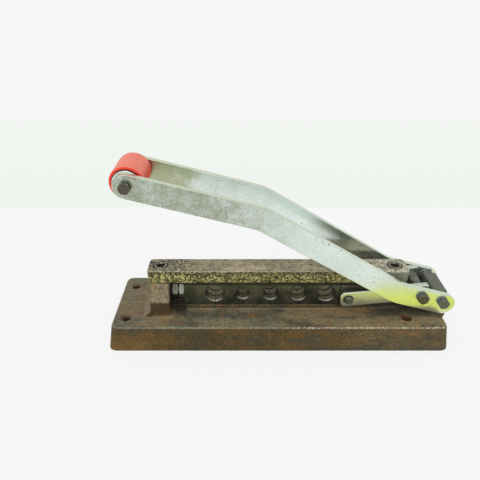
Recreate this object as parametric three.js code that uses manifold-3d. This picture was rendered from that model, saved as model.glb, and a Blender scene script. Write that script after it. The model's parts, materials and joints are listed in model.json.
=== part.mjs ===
// Bench mount hose crimper: a lever pushes a row of split dies along a cast base.
// Millimetres, +Z up. The origin is the centre of the base's underside,
// +X runs towards the pivot end of the base and -Y faces the person using it.

import * as THREE from 'three';
import { mergeVertices } from 'three/addons/utils/BufferGeometryUtils.js';
import Module from 'manifold-3d';

const wasm = await Module();
wasm.setup();

// Clearances
const SEAT_GAP = 0.3;
const PIN_GAP = 0.3;
const CUT_OVERRUN = 2;
const FUSE_DEPTH = 1;

// Base casting
const BASE_WIDTH = 78.8;
const BASE_HEIGHT = 24.6;
const BASE_END_DRAFT = 4;
const BASE_SIDE_DRAFT = 1.5;
const BASE_CORNER_RADIUS = 6.5;
const BASE_EDGE_RADIUS = 2.4;
const CORE_WALL = 9;
const CORE_ROOF = 8;
const CORE_RIB = 9;
const CORE_CORNER_RADIUS = 6;

// Bench holes
const BENCH_HOLE_LEFT_INSET = 15.5;
const BENCH_HOLE_RIGHT_INSET = 36.2;
const BENCH_HOLE_SPREAD = 46.4;
const BENCH_HOLE_RADIUS = 2.9;
const BENCH_SINK_RADIUS = 5.3;
const BENCH_BOSS_RADIUS = 10;

// Rail and die channel
const RAIL_HEIGHT = 3.7;
const RAIL_WIDTH = 22.2;
const TONGUE_WIDTH = 7;
const TONGUE_HEIGHT = 1.5;
const CHANNEL_HEIGHT = 22.6;
const BORE_AXIS_HEIGHT = 12.8;

// Posts that carry the bar
const POST_LENGTH = 17.6;
const LEFT_POST_INSET = 45.3;
const LEFT_POST_WIDTH = 44;
const POST_SHOULDER_HEIGHT = 14.4;
const POST_SHOULDER_EASE = 1.5;
const POST_CORNER_RADIUS = 3;
const LEFT_POST_FOOT = 6;
const LEFT_POST_FOOT_HEIGHT = 8;
const RIGHT_POST_FOOT = 3;
const RIGHT_POST_FOOT_HEIGHT = 3;
const POST_FOOT_SIDE_SHARE = 0.6;

// Top bar and its screws
const BAR_OVERHANG = 10.9;
const BAR_WIDTH = 21.2;
const BAR_THICKNESS = 12.5;
const BAR_CORNER_RADIUS = 4;
const BAR_EDGE = 0.9;
const SCREW_HEAD_RADIUS = 6;
const SCREW_HEAD_HEIGHT = 7.6;
const SCREW_SHANK_RADIUS = 3.9;
const SCREW_SOCKET_ACROSS = 6.35;
const SCREW_SOCKET_DEPTH = 4.2;
const SCREW_HEAD_EDGE = 0.6;
const SCREW_HEAD_CLEARANCE = 0.65;
const SCREW_TIP_WALL = 1;

// Adjusting bolt in the left post
const ADJUST_DROP = 2.3;
const ADJUST_RADIUS = 4.5;
const ADJUST_ACROSS = 15;
const ADJUST_HEAD_HEIGHT = 4.9;
const LOCK_NUT_HEIGHT = 5.7;
const ADJUST_TIP_INSET = 2;

// Dies
const DIE_DEPTH = 22.2;
const DIE_PITCH = 24.4;
const DIE_EDGE = 0.5;
const FIRST_DIE_LENGTH = 27.1;
const LAST_DIE_LENGTH = 12;
const BORE_1_RADIUS = 7.9;
const BORE_2_RADIUS = 5.5;
const BORE_3_RADIUS = 6.3;
const BORE_4_RADIUS = 7;
const BORE_5_RADIUS = 7.7;
const BORE_MOUTH = 0.7;
const LAND_COUNT = 3;
const GROOVE_DEPTH = 1.1;
const GROOVE_WIDTH = 1.8;
const GROOVE_SLOPE = 0.45;

// Ram and links
const RAM_LENGTH = 16;
const RAM_ROOM = 22.5;
const RAM_PIN_INSET = 6.5;
const RAM_PIN_DROP = 3;
const RAM_PIN_RADIUS = 3.9;
const RAM_PIN_EDGE = 0.8;
const RAM_PIN_STAND = 2;
const LINK_THICKNESS = 4.76;
const LINK_HALF_WIDTH = 7.45;
const LINK_HEEL_LENGTH = 7;
const LINK_HEEL_RADIUS = 4.5;
const LINK_TOE_LENGTH = 7.2;
const LINK_TOE_RADIUS = 1.5;
const LINK_EYE_PLAY = 1.8;

// Lever
const LEVER_GAP = 35.5;
const LEVER_THICKNESS = 4.76;
const LEVER_HALF_WIDTH = 9.8;
const LEVER_EDGE = 0.45;
const LEVER_BEND_RADIUS = 42;
const PIVOT_INSET = 7.8;
const PIVOT_DROP = 0.8;
const POST_TO_PIVOT = 38.6;
const CRANK_RADIUS = 19.05;
const PIN_LINE_OFFSET = 2.3;
const TIP_OVERHANG = 1;
const TIP_LENGTH = 40.8;
const MIDDLE_LENGTH = 136.6;
const HANDLE_LENGTH = 106.6;
const TIP_ANGLE = 15.4;
const MIDDLE_ANGLE = 31.3;
const HANDLE_ANGLE = 14.9;

// Pivot lug on the base
const LUG_WIDTH = 29;
const LUG_LENGTH = 12.3;
const LUG_SHIFT = 0.45;
const LUG_RISE = 21.8;
const LUG_CORNER_RADIUS = 2.6;
const LUG_EDGE = 1;
const LUG_PAD_WIDTH = 39;
const LUG_PAD_LENGTH = 12.5;
const LUG_PAD_RISE = 1.5;
const LUG_PAD_CORNER_RADIUS = 1.2;
const PIVOT_BUSH_WALL = 1;
const PIVOT_WASHER_RADIUS = 5.8;
const CRANK_TUBE_RADIUS = 5;
const CRANK_WASHER_RADIUS = 5.6;

// Bolts through the lever
const BOLT_RADIUS = 2.6;
const BOLT_HEAD_ACROSS = 8.7;
const BOLT_HEAD_HEIGHT = 3.6;
const BOLT_NUT_HEIGHT = 4.6;
const BOLT_TIP_LENGTH = 1.8;
const HEX_CHAMFER_SHARE = 0.09;
const CRANK_HEAD_TURN = 12;
const PIVOT_HEAD_TURN = 24;
const ROLLER_HEAD_TURN = 40;

// Grip roller
const ROLLER_RADIUS = 13.6;
const ROLLER_EDGE = 1.2;
const ROLLER_WALL = 6.3;
const ROLLER_WASHER_RADIUS = 10.9;
const ROLLER_WASHER_THICKNESS = 1.3;

// How finely round forms are faceted
const ROUND_STEPS = 20;
const BORE_STEPS = 24;
const HEX_STEPS = 12;
const ARC_STEPS = 6;
const CORNER_STEPS = 4;
const FILLET_STEPS = 4;
const BEND_STEPS = 6;

// Heights and places that follow from the sizes above
const railTop = BASE_HEIGHT + RAIL_HEIGHT;
const postTop = railTop + CHANNEL_HEIGHT;
const axisZ = railTop + BORE_AXIS_HEIGHT;
const adjustZ = axisZ - ADJUST_DROP;
const pivotZ = axisZ - PIVOT_DROP;
const barBottom = postTop + SEAT_GAP;
const barTop = barBottom + BAR_THICKNESS;

// Places along the base, from the left end to the pivot
const boreRadii = [BORE_1_RADIUS, BORE_2_RADIUS, BORE_3_RADIUS, BORE_4_RADIUS, BORE_5_RADIUS];
const adjustLength = LOCK_NUT_HEIGHT + ADJUST_HEAD_HEIGHT + 3 * SEAT_GAP;
const diesLength = FIRST_DIE_LENGTH + (boreRadii.length - 1) * DIE_PITCH + LAST_DIE_LENGTH;
const channelLength = adjustLength + diesLength + SEAT_GAP + RAM_LENGTH + RAM_ROOM;
const screwSpread = channelLength + POST_LENGTH;
const baseLength = LEFT_POST_INSET + screwSpread + POST_TO_PIVOT + PIVOT_INSET;
const leftPostX = LEFT_POST_INSET - baseLength / 2;
const rightPostX = leftPostX + screwSpread;
const leftPostFace = leftPostX + POST_LENGTH / 2;
const lockNutX = leftPostFace + SEAT_GAP + LOCK_NUT_HEIGHT;
const adjustFaceX = lockNutX + SEAT_GAP + ADJUST_HEAD_HEIGHT;
const firstBoreX = adjustFaceX + SEAT_GAP + FIRST_DIE_LENGTH;
const boreXs = boreRadii.map((radius, index) => firstBoreX + index * DIE_PITCH);
const lastBoreX = boreXs[boreXs.length - 1];
const ramLeft = lastBoreX + LAST_DIE_LENGTH + SEAT_GAP;
const ramPinX = ramLeft + RAM_PIN_INSET;
const pivotX = rightPostX + POST_TO_PIVOT;

// Places across the base and of the linkage
const dieBottom = railTop + SEAT_GAP;
const dieTop = postTop - SEAT_GAP;
const ramPinZ = axisZ - RAM_PIN_DROP;
const crankX = pivotX - CRANK_RADIUS * Math.cos(degrees(TIP_ANGLE));
const crankZ = pivotZ + CRANK_RADIUS * Math.sin(degrees(TIP_ANGLE));
const leverInner = LEVER_GAP / 2;
const leverOuter = leverInner + LEVER_THICKNESS;
const linkInner = DIE_DEPTH / 2 + SEAT_GAP;
const linkOuter = linkInner + LINK_THICKNESS;
const boltHole = BOLT_RADIUS + PIN_GAP;

// Finishes
const castIron = finish(0x63594a, 0.85, 0.35);
const barSteel = finish(0x7d7058, 0.8, 0.45);
const dieSteel = finish(0x3f3e33, 0.55, 0.7);
const blackSteel = finish(0x34312a, 0.5, 0.6);
const zincPlate = finish(0xb9c4bc, 0.38, 0.85);
const tubeSteel = finish(0x6c6558, 0.6, 0.6);
const redPlastic = finish(0xe4523f, 0.42, 0);

function degrees(angle) {
  return THREE.MathUtils.degToRad(angle);
}

function finish(color, roughness, metalness) {
  return new THREE.MeshStandardMaterial({ color, roughness, metalness });
}

// Boolean helpers: geometry to solid and back

function toSolid(geometry) {
  const bare = geometry.clone();
  bare.deleteAttribute('normal');
  bare.deleteAttribute('uv');
  const merged = mergeVertices(bare);
  const vertProperties = new Float32Array(merged.attributes.position.array);
  const triVerts = new Uint32Array(merged.index.array);
  return new wasm.Manifold(new wasm.Mesh({ numProp: 3, vertProperties, triVerts }));
}

function toGeometry(solid) {
  const mesh = solid.getMesh();
  const geometry = new THREE.BufferGeometry();
  geometry.setAttribute('position', new THREE.BufferAttribute(new Float32Array(mesh.vertProperties), 3));
  geometry.setIndex(new THREE.BufferAttribute(new Uint32Array(mesh.triVerts), 1));
  geometry.computeVertexNormals();
  return geometry;
}

function join(first, ...others) {
  const sum = others.reduce((solid, geometry) => solid.add(toSolid(geometry)), toSolid(first));
  return toGeometry(sum);
}

function cut(first, ...others) {
  const rest = others.reduce((solid, geometry) => solid.subtract(toSolid(geometry)), toSolid(first));
  return toGeometry(rest);
}

function overlap(first, second) {
  return toGeometry(toSolid(first).intersect(toSolid(second)));
}

// Shape helpers

function box(sizeX, sizeY, sizeZ, x, y, z) {
  return new THREE.BoxGeometry(sizeX, sizeY, sizeZ).translate(x, y, z);
}

// Cylinder along Z from z = 0 up to the length
function rod(radius, length, steps = ROUND_STEPS) {
  return new THREE.CylinderGeometry(radius, radius, length, steps)
    .rotateX(Math.PI / 2)
    .translate(0, 0, length / 2);
}

// Turned form about Z from its outline, pairs of radius and height that go down the outside
function turned(outline, steps = ROUND_STEPS) {
  const points = outline.map(([radius, height]) => new THREE.Vector2(radius, height)).reverse();
  return new THREE.LatheGeometry(points, steps).rotateX(Math.PI / 2);
}

function tube(innerRadius, outerRadius, length) {
  return turned([
    [innerRadius, length],
    [outerRadius, length],
    [outerRadius, 0],
    [innerRadius, 0],
    [innerRadius, length],
  ]);
}

// Six-sided prism along Z with both ends chamfered, corners on the Y axis
function hexPrism(across, height) {
  const cornerRadius = across / Math.sqrt(3);
  const chamfer = across * HEX_CHAMFER_SHARE;
  const flatRadius = cornerRadius - chamfer;
  const rise = chamfer / Math.sqrt(3);
  const prism = rod(cornerRadius, height, 6);
  const limit = turned([
    [0, height],
    [flatRadius, height],
    [cornerRadius, height - rise],
    [cornerRadius, rise],
    [flatRadius, 0],
    [0, 0],
  ], HEX_STEPS);
  return overlap(prism, limit);
}

// Hex bolt along Z: the head's seat is at z = 0 and the shank points up
function hexBolt(across, headHeight, radius, length) {
  const edge = radius * HEX_CHAMFER_SHARE;
  const shank = turned([
    [0, length],
    [radius - edge, length],
    [radius, length - edge],
    [radius, -headHeight / 2],
    [0, -headHeight / 2],
  ]);
  return join(hexPrism(across, headHeight).translate(0, 0, -headHeight), shank);
}

function hexNut(across, height, boreRadius) {
  const bore = rod(boreRadius, height + 2 * CUT_OVERRUN).translate(0, 0, -CUT_OVERRUN);
  return cut(hexPrism(across, height), bore);
}

function rectangle(halfX, halfY) {
  const shape = new THREE.Shape();
  shape.moveTo(halfX, halfY);
  shape.lineTo(-halfX, halfY);
  shape.lineTo(-halfX, -halfY);
  shape.lineTo(halfX, -halfY);
  shape.closePath();
  return shape;
}

function roundedRectangle(halfX, halfY, radius) {
  const corner = Math.min(radius, halfX, halfY);
  const shape = new THREE.Shape();
  shape.absarc(halfX - corner, halfY - corner, corner, 0, Math.PI / 2);
  shape.absarc(corner - halfX, halfY - corner, corner, Math.PI / 2, Math.PI);
  shape.absarc(corner - halfX, corner - halfY, corner, Math.PI, 1.5 * Math.PI);
  shape.absarc(halfX - corner, corner - halfY, corner, 1.5 * Math.PI, 2 * Math.PI);
  shape.closePath();
  return shape;
}

// Plate with its outline kept and its edges chamfered, from z = 0 up to the thickness
function plate(shape, thickness, edge = 0) {
  const geometry = new THREE.ExtrudeGeometry(shape, {
    depth: thickness - 2 * edge,
    curveSegments: CORNER_STEPS / 2,
    bevelEnabled: edge > 0,
    bevelThickness: edge,
    bevelSize: edge,
    bevelOffset: -edge,
    bevelSegments: 1,
  });
  return geometry.translate(0, 0, edge);
}

// Stands a plate upright: its outline lies in XZ and its thickness is centred on a place in Y
function standPlate(geometry, thickness, y = 0) {
  return geometry.rotateX(Math.PI / 2).translate(0, y + thickness / 2, 0);
}

// Closed form through rounded rectangles stacked along Z
function loft(levels) {
  const positions = [];
  const indices = [];
  const ringSize = 4 * (CORNER_STEPS + 1);
  for (const { z, halfX, halfY, radius } of levels) {
    for (let step = 0; step < ringSize; step += 1) {
      const corner = Math.floor(step / (CORNER_STEPS + 1));
      const turn = (corner + (step % (CORNER_STEPS + 1)) / CORNER_STEPS) * (Math.PI / 2);
      const signX = corner === 0 || corner === 3 ? 1 : -1;
      const signY = corner < 2 ? 1 : -1;
      const x = signX * (halfX - radius) + radius * Math.cos(turn);
      const y = signY * (halfY - radius) + radius * Math.sin(turn);
      positions.push(x, y, z);
    }
  }
  for (let level = 0; level < levels.length - 1; level += 1) {
    for (let step = 0; step < ringSize; step += 1) {
      const next = (step + 1) % ringSize;
      const low = level * ringSize;
      const high = low + ringSize;
      indices.push(low + step, low + next, high + next);
      indices.push(low + step, high + next, high + step);
    }
  }
  const last = (levels.length - 1) * ringSize;
  for (let step = 1; step < ringSize - 1; step += 1) {
    indices.push(0, step + 1, step);
    indices.push(last, last + step, last + step + 1);
  }
  const geometry = new THREE.BufferGeometry();
  geometry.setAttribute('position', new THREE.Float32BufferAttribute(positions, 3));
  geometry.setIndex(indices);
  return geometry;
}

// Base casting

function basePlate() {
  const halfX = baseLength / 2;
  const halfY = BASE_WIDTH / 2;
  const levels = [{ z: 0, halfX, halfY, radius: BASE_CORNER_RADIUS }];
  const edgeStart = BASE_HEIGHT - BASE_EDGE_RADIUS;
  for (let step = 0; step <= FILLET_STEPS; step += 1) {
    const turn = (step / FILLET_STEPS) * (Math.PI / 2);
    const inset = BASE_EDGE_RADIUS * (1 - Math.cos(turn));
    levels.push({
      z: edgeStart + BASE_EDGE_RADIUS * Math.sin(turn),
      halfX: halfX - BASE_END_DRAFT - inset,
      halfY: halfY - BASE_SIDE_DRAFT - inset,
      radius: BASE_CORNER_RADIUS - inset,
    });
  }
  return loft(levels);
}

// A foot that flares out to the base in a hollow curve, then goes up as the post's own levels
function footLevels(halfX, halfY, foot, height) {
  const levels = [];
  for (let step = 0; step <= FILLET_STEPS; step += 1) {
    const turn = (step / FILLET_STEPS) * (Math.PI / 2);
    const flare = foot * (1 - Math.sin(turn));
    levels.push({
      z: BASE_HEIGHT + height * (1 - Math.cos(turn)),
      halfX: halfX + flare,
      halfY: halfY + flare * POST_FOOT_SIDE_SHARE,
      radius: POST_CORNER_RADIUS + flare * POST_FOOT_SIDE_SHARE,
    });
  }
  return [{ ...levels[0], z: BASE_HEIGHT - FUSE_DEPTH }, ...levels];
}

// The left post is wider than the bar and slopes in to it above a shoulder
function leftPost() {
  const halfX = POST_LENGTH / 2;
  const halfY = LEFT_POST_WIDTH / 2;
  const radius = POST_CORNER_RADIUS;
  const shoulderZ = BASE_HEIGHT + POST_SHOULDER_HEIGHT;
  const levels = footLevels(halfX, halfY, LEFT_POST_FOOT, LEFT_POST_FOOT_HEIGHT);
  levels.push({ z: shoulderZ - POST_SHOULDER_EASE, halfX, halfY, radius });
  levels.push({ z: shoulderZ, halfX, halfY: halfY - POST_SHOULDER_EASE / 2, radius });
  levels.push({ z: postTop, halfX, halfY: BAR_WIDTH / 2, radius });
  return loft(levels).translate(leftPostX, 0, 0);
}

function rightPost() {
  const halfX = POST_LENGTH / 2;
  const halfY = BAR_WIDTH / 2;
  const levels = footLevels(halfX, halfY, RIGHT_POST_FOOT, RIGHT_POST_FOOT_HEIGHT);
  levels.push({ z: postTop, halfX, halfY, radius: POST_CORNER_RADIUS });
  return loft(levels).translate(rightPostX, 0, 0);
}

function rail() {
  const length = channelLength + 2 * FUSE_DEPTH;
  const middleX = (leftPostX + rightPostX) / 2;
  const height = RAIL_HEIGHT + FUSE_DEPTH;
  const body = box(length, RAIL_WIDTH, height, middleX, 0, railTop - height / 2);
  const tongueHeight = TONGUE_HEIGHT + FUSE_DEPTH;
  const tongueZ = railTop + TONGUE_HEIGHT - tongueHeight / 2;
  return join(body, box(length, TONGUE_WIDTH, tongueHeight, middleX, 0, tongueZ));
}

// Block across the base that runs down into its end wall, a little past the fixed pivot
function pivotBlock(length, width, rise, corner) {
  const leftX = pivotX + LUG_SHIFT - length / 2;
  const rightX = leftX + length;
  const arcZ = BASE_HEIGHT + rise - corner;
  const footZ = BASE_HEIGHT / 2;
  const shape = new THREE.Shape();
  shape.moveTo(leftX, footZ);
  shape.lineTo(baseLength / 2 - BASE_END_DRAFT, footZ);
  shape.lineTo(rightX, BASE_HEIGHT);
  shape.absarc(rightX - corner, arcZ, corner, 0, Math.PI / 2);
  shape.absarc(leftX + corner, arcZ, corner, Math.PI / 2, Math.PI);
  shape.closePath();
  const geometry = new THREE.ExtrudeGeometry(shape, {
    depth: width - 2 * LUG_EDGE,
    curveSegments: ARC_STEPS,
    bevelThickness: LUG_EDGE,
    bevelSize: LUG_EDGE,
    bevelOffset: -LUG_EDGE,
    bevelSegments: 2,
  });
  return geometry.rotateX(Math.PI / 2).translate(0, width / 2 - LUG_EDGE, 0);
}

// Square ear for the fixed pivot, on a low pad that is wider than the lever
function pivotLug() {
  const ear = pivotBlock(LUG_LENGTH, LUG_WIDTH, LUG_RISE, LUG_CORNER_RADIUS);
  return join(ear, pivotBlock(LUG_PAD_LENGTH, LUG_PAD_WIDTH, LUG_PAD_RISE, LUG_PAD_CORNER_RADIUS));
}

// Pockets that the casting is cored with underneath, either side of a middle rib
function corePocket(fromX, toX) {
  const halfX = (toX - fromX) / 2;
  const halfY = BASE_WIDTH / 2 - CORE_WALL;
  const depth = BASE_HEIGHT - CORE_ROOF + CUT_OVERRUN;
  const outline = roundedRectangle(halfX, halfY, CORE_CORNER_RADIUS);
  return plate(outline, depth).translate((fromX + toX) / 2, 0, -CUT_OVERRUN);
}

function benchHole(x, y) {
  const sinkDepth = BENCH_SINK_RADIUS - BENCH_HOLE_RADIUS;
  return turned([
    [0, BASE_HEIGHT + CUT_OVERRUN],
    [BENCH_SINK_RADIUS, BASE_HEIGHT + CUT_OVERRUN],
    [BENCH_SINK_RADIUS, BASE_HEIGHT],
    [BENCH_HOLE_RADIUS, BASE_HEIGHT - sinkDepth],
    [BENCH_HOLE_RADIUS, -CUT_OVERRUN],
    [0, -CUT_OVERRUN],
  ]).translate(x, y, 0);
}

const benchLeftX = BENCH_HOLE_LEFT_INSET - baseLength / 2;
const benchRightX = baseLength / 2 - BENCH_HOLE_RIGHT_INSET;
const adjustHole = ADJUST_RADIUS + PIN_GAP;
const screwTip = adjustZ + adjustHole + SCREW_TIP_WALL;
const pivotBushRadius = boltHole + PIVOT_BUSH_WALL;

function baseCasting() {
  const benchHoles = [benchLeftX, benchRightX].flatMap((x) => [
    benchHole(x, BENCH_HOLE_SPREAD / 2),
    benchHole(x, -BENCH_HOLE_SPREAD / 2),
  ]);
  const screwHoleLength = postTop - screwTip + SEAT_GAP + CUT_OVERRUN;
  const screwHoles = [leftPostX, rightPostX].map((x) =>
    rod(SCREW_SHANK_RADIUS + PIN_GAP, screwHoleLength).translate(x, 0, screwTip - SEAT_GAP));
  const postLength = POST_LENGTH + 2 * LEFT_POST_FOOT;
  const adjustBore = rod(adjustHole, postLength)
    .rotateY(Math.PI / 2)
    .translate(leftPostX - postLength / 2, 0, adjustZ);
  const pivotLength = LUG_WIDTH + 2 * CUT_OVERRUN;
  const pivotBore = rod(pivotBushRadius + PIN_GAP, pivotLength)
    .rotateX(Math.PI / 2)
    .translate(pivotX, pivotLength / 2, pivotZ);
  const leftPocket = corePocket(benchLeftX + BENCH_BOSS_RADIUS, -CORE_RIB / 2);
  const rightPocket = corePocket(CORE_RIB / 2, benchRightX - BENCH_BOSS_RADIUS);
  const body = join(basePlate(), leftPost(), rightPost(), rail(), pivotLug());
  return cut(body, leftPocket, rightPocket, ...benchHoles, ...screwHoles, adjustBore, pivotBore);
}

// Top bar and its socket head screws

const headSinkDepth = SCREW_HEAD_HEIGHT + SEAT_GAP;

function topBar() {
  const outline = roundedRectangle(screwSpread / 2 + BAR_OVERHANG, BAR_WIDTH / 2, BAR_CORNER_RADIUS);
  const body = plate(outline, BAR_THICKNESS, BAR_EDGE);
  const holes = [-screwSpread / 2, screwSpread / 2].flatMap((x) => [
    rod(SCREW_HEAD_RADIUS + SCREW_HEAD_CLEARANCE, headSinkDepth + CUT_OVERRUN)
      .translate(x, 0, BAR_THICKNESS - headSinkDepth),
    rod(SCREW_SHANK_RADIUS + PIN_GAP, BAR_THICKNESS + 2 * CUT_OVERRUN)
      .translate(x, 0, -CUT_OVERRUN),
  ]);
  return cut(body, ...holes);
}

// Socket head screw along Z with the top of its head at z = 0
function socketScrew() {
  const length = barTop - screwTip;
  const body = turned([
    [0, 0],
    [SCREW_HEAD_RADIUS - SCREW_HEAD_EDGE, 0],
    [SCREW_HEAD_RADIUS, -SCREW_HEAD_EDGE],
    [SCREW_HEAD_RADIUS, -SCREW_HEAD_HEIGHT],
    [SCREW_SHANK_RADIUS, -SCREW_HEAD_HEIGHT],
    [SCREW_SHANK_RADIUS, -length],
    [0, -length],
  ]);
  const socket = rod(SCREW_SOCKET_ACROSS / Math.sqrt(3), SCREW_SOCKET_DEPTH + CUT_OVERRUN, 6);
  return cut(body, socket.translate(0, 0, -SCREW_SOCKET_DEPTH));
}

// Dies: blocks split at the middle of each bore

// Ringed crimp bore along Y, as the form that is cut from the two blocks that share it
function crimpBore(radius, x) {
  const half = DIE_DEPTH / 2;
  const groovePitch = (DIE_DEPTH + GROOVE_WIDTH) / LAND_COUNT;
  const mouthRadius = radius + BORE_MOUTH + CUT_OVERRUN;
  const outline = [[0, half + CUT_OVERRUN], [mouthRadius, half + CUT_OVERRUN], [radius, half - BORE_MOUTH]];
  for (let groove = 1; groove < LAND_COUNT; groove += 1) {
    const bottom = half - groove * groovePitch;
    const top = bottom + GROOVE_WIDTH;
    outline.push([radius, top], [radius + GROOVE_DEPTH, top - GROOVE_SLOPE]);
    outline.push([radius + GROOVE_DEPTH, bottom + GROOVE_SLOPE], [radius, bottom]);
  }
  outline.push([radius, BORE_MOUTH - half], [mouthRadius, -half - CUT_OVERRUN], [0, -half - CUT_OVERRUN]);
  return turned(outline, BORE_STEPS).rotateX(Math.PI / 2).translate(x, 0, axisZ);
}

// Block that fills the channel, with a groove underneath for the rail's tongue
function slideBlock(fromX, toX, depth) {
  const middleX = (fromX + toX) / 2;
  const middleZ = (dieBottom + dieTop) / 2;
  const outline = rectangle((toX - fromX) / 2, (dieTop - dieBottom) / 2);
  const body = standPlate(plate(outline, depth, DIE_EDGE), depth).translate(middleX, 0, middleZ);
  const grooveWidth = TONGUE_WIDTH + 2 * SEAT_GAP;
  const grooveTop = railTop + TONGUE_HEIGHT + SEAT_GAP;
  const grooveHeight = grooveTop - dieBottom + CUT_OVERRUN;
  const grooveLength = toX - fromX + 2 * CUT_OVERRUN;
  const groove = box(grooveLength, grooveWidth, grooveHeight, middleX, 0, grooveTop - grooveHeight / 2);
  return cut(body, groove);
}

function dieBlock(index) {
  const isFirst = index === 0;
  const isLast = index === boreXs.length;
  const fromX = isFirst ? boreXs[0] - FIRST_DIE_LENGTH : boreXs[index - 1] + SEAT_GAP / 2;
  const toX = isLast ? lastBoreX + LAST_DIE_LENGTH : boreXs[index] - SEAT_GAP / 2;
  const bores = [];
  if (!isFirst) {
    bores.push(crimpBore(boreRadii[index - 1], boreXs[index - 1]));
  }
  if (!isLast) {
    bores.push(crimpBore(boreRadii[index], boreXs[index]));
  }
  return cut(slideBlock(fromX, toX, DIE_DEPTH), ...bores);
}

// Ram, its pin and the two links

const ramPinReach = linkOuter + RAM_PIN_STAND;

function ramBlock() {
  const body = slideBlock(ramLeft, ramLeft + RAM_LENGTH, DIE_DEPTH);
  const length = DIE_DEPTH + 2 * CUT_OVERRUN;
  const hole = rod(RAM_PIN_RADIUS + PIN_GAP, length).rotateX(Math.PI / 2);
  return cut(body, hole.translate(ramPinX, length / 2, ramPinZ));
}

function ramPin() {
  const length = 2 * ramPinReach;
  return turned([
    [0, length],
    [RAM_PIN_RADIUS - RAM_PIN_EDGE, length],
    [RAM_PIN_RADIUS, length - RAM_PIN_EDGE],
    [RAM_PIN_RADIUS, RAM_PIN_EDGE],
    [RAM_PIN_RADIUS - RAM_PIN_EDGE, 0],
    [0, 0],
  ]);
}

// Link outline about the ram pin: a flat bar with a well rounded heel and a nearly square toe
function linkGeometry() {
  const length = Math.hypot(crankX - ramPinX, crankZ - ramPinZ);
  const heel = Math.min(LINK_HEEL_RADIUS, LINK_HALF_WIDTH, LINK_HEEL_LENGTH);
  const heelX = heel - LINK_HEEL_LENGTH;
  const heelY = LINK_HALF_WIDTH - heel;
  const toeX = length + LINK_TOE_LENGTH - LINK_TOE_RADIUS;
  const toeY = LINK_HALF_WIDTH - LINK_TOE_RADIUS;
  const shape = new THREE.Shape();
  shape.absarc(toeX, -toeY, LINK_TOE_RADIUS, -Math.PI / 2, 0);
  shape.absarc(toeX, toeY, LINK_TOE_RADIUS, 0, Math.PI / 2);
  shape.absarc(heelX, heelY, heel, Math.PI / 2, Math.PI);
  shape.absarc(heelX, -heelY, heel, Math.PI, 1.5 * Math.PI);
  shape.closePath();
  addHole(shape, 0, 0, RAM_PIN_RADIUS + PIN_GAP);
  addHole(shape, length, 0, BOLT_RADIUS + LINK_EYE_PLAY);
  const geometry = new THREE.ExtrudeGeometry(shape, {
    depth: LINK_THICKNESS - 2 * LEVER_EDGE,
    curveSegments: ARC_STEPS,
    bevelThickness: LEVER_EDGE,
    bevelSize: LEVER_EDGE,
    bevelOffset: -LEVER_EDGE,
    bevelSegments: 1,
  });
  return geometry.rotateX(Math.PI / 2).translate(0, LINK_THICKNESS / 2 - LEVER_EDGE, 0);
}

function addHole(shape, x, y, radius) {
  const hole = new THREE.Path();
  hole.absarc(x, y, radius, 0, 2 * Math.PI);
  shape.holes.push(hole);
}

// Lever bar outline about the pivot: three straight runs joined by two round bends

function leverPath() {
  const overhangX = TIP_OVERHANG * Math.cos(degrees(TIP_ANGLE));
  const overhangY = -TIP_OVERHANG * Math.sin(degrees(TIP_ANGLE));
  const tip = new THREE.Vector2(overhangX, overhangY - PIN_LINE_OFFSET);
  const runs = [
    [TIP_OVERHANG + TIP_LENGTH, TIP_ANGLE],
    [MIDDLE_LENGTH, MIDDLE_ANGLE],
    [HANDLE_LENGTH, HANDLE_ANGLE],
  ];
  const points = [tip];
  for (const [length, angle] of runs) {
    const from = points[points.length - 1];
    const along = new THREE.Vector2(-Math.cos(degrees(angle)), Math.sin(degrees(angle)));
    points.push(along.multiplyScalar(length).add(from));
  }
  return points;
}

// Centre line points with their sideways directions, the bends rounded
function roundedCentreLine(points, radius) {
  const line = [];
  const headings = points.slice(1).map((point, index) => point.clone().sub(points[index]).angle());
  line.push({ point: points[0], heading: headings[0] });
  for (let index = 1; index < points.length - 1; index += 1) {
    const turn = headings[index] - headings[index - 1];
    const reach = radius * Math.tan(Math.abs(turn) / 2);
    const side = Math.sign(turn);
    const back = new THREE.Vector2(Math.cos(headings[index - 1]), Math.sin(headings[index - 1]));
    const start = points[index].clone().addScaledVector(back, -reach);
    const inward = new THREE.Vector2(-back.y, back.x).multiplyScalar(side * radius);
    const centre = start.clone().add(inward);
    for (let step = 0; step <= BEND_STEPS; step += 1) {
      const heading = headings[index - 1] + (turn * step) / BEND_STEPS;
      const outward = new THREE.Vector2(Math.sin(heading), -Math.cos(heading));
      line.push({ point: centre.clone().addScaledVector(outward, side * radius), heading });
    }
  }
  line.push({ point: points[points.length - 1], heading: headings[headings.length - 1] });
  return line;
}

function leverShape() {
  const line = roundedCentreLine(leverPath(), LEVER_BEND_RADIUS);
  const offset = ({ point, heading }, distance) =>
    new THREE.Vector2(point.x - distance * Math.sin(heading), point.y + distance * Math.cos(heading));
  const first = line[0];
  const last = line[line.length - 1];
  const shape = new THREE.Shape();
  const under = line.map((place) => offset(place, LEVER_HALF_WIDTH));
  const over = line.map((place) => offset(place, -LEVER_HALF_WIDTH)).reverse();
  shape.setFromPoints(over);
  const tipTurn = first.heading - Math.PI / 2;
  shape.absarc(first.point.x, first.point.y, LEVER_HALF_WIDTH, tipTurn, tipTurn - Math.PI, true);
  under.slice(1, -1).forEach((point) => shape.lineTo(point.x, point.y));
  const gripTurn = last.heading + Math.PI / 2;
  shape.absarc(last.point.x, last.point.y, LEVER_HALF_WIDTH, gripTurn, gripTurn - Math.PI, true);
  shape.closePath();
  return shape;
}

const gripPoint = leverPath()[3];

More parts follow.
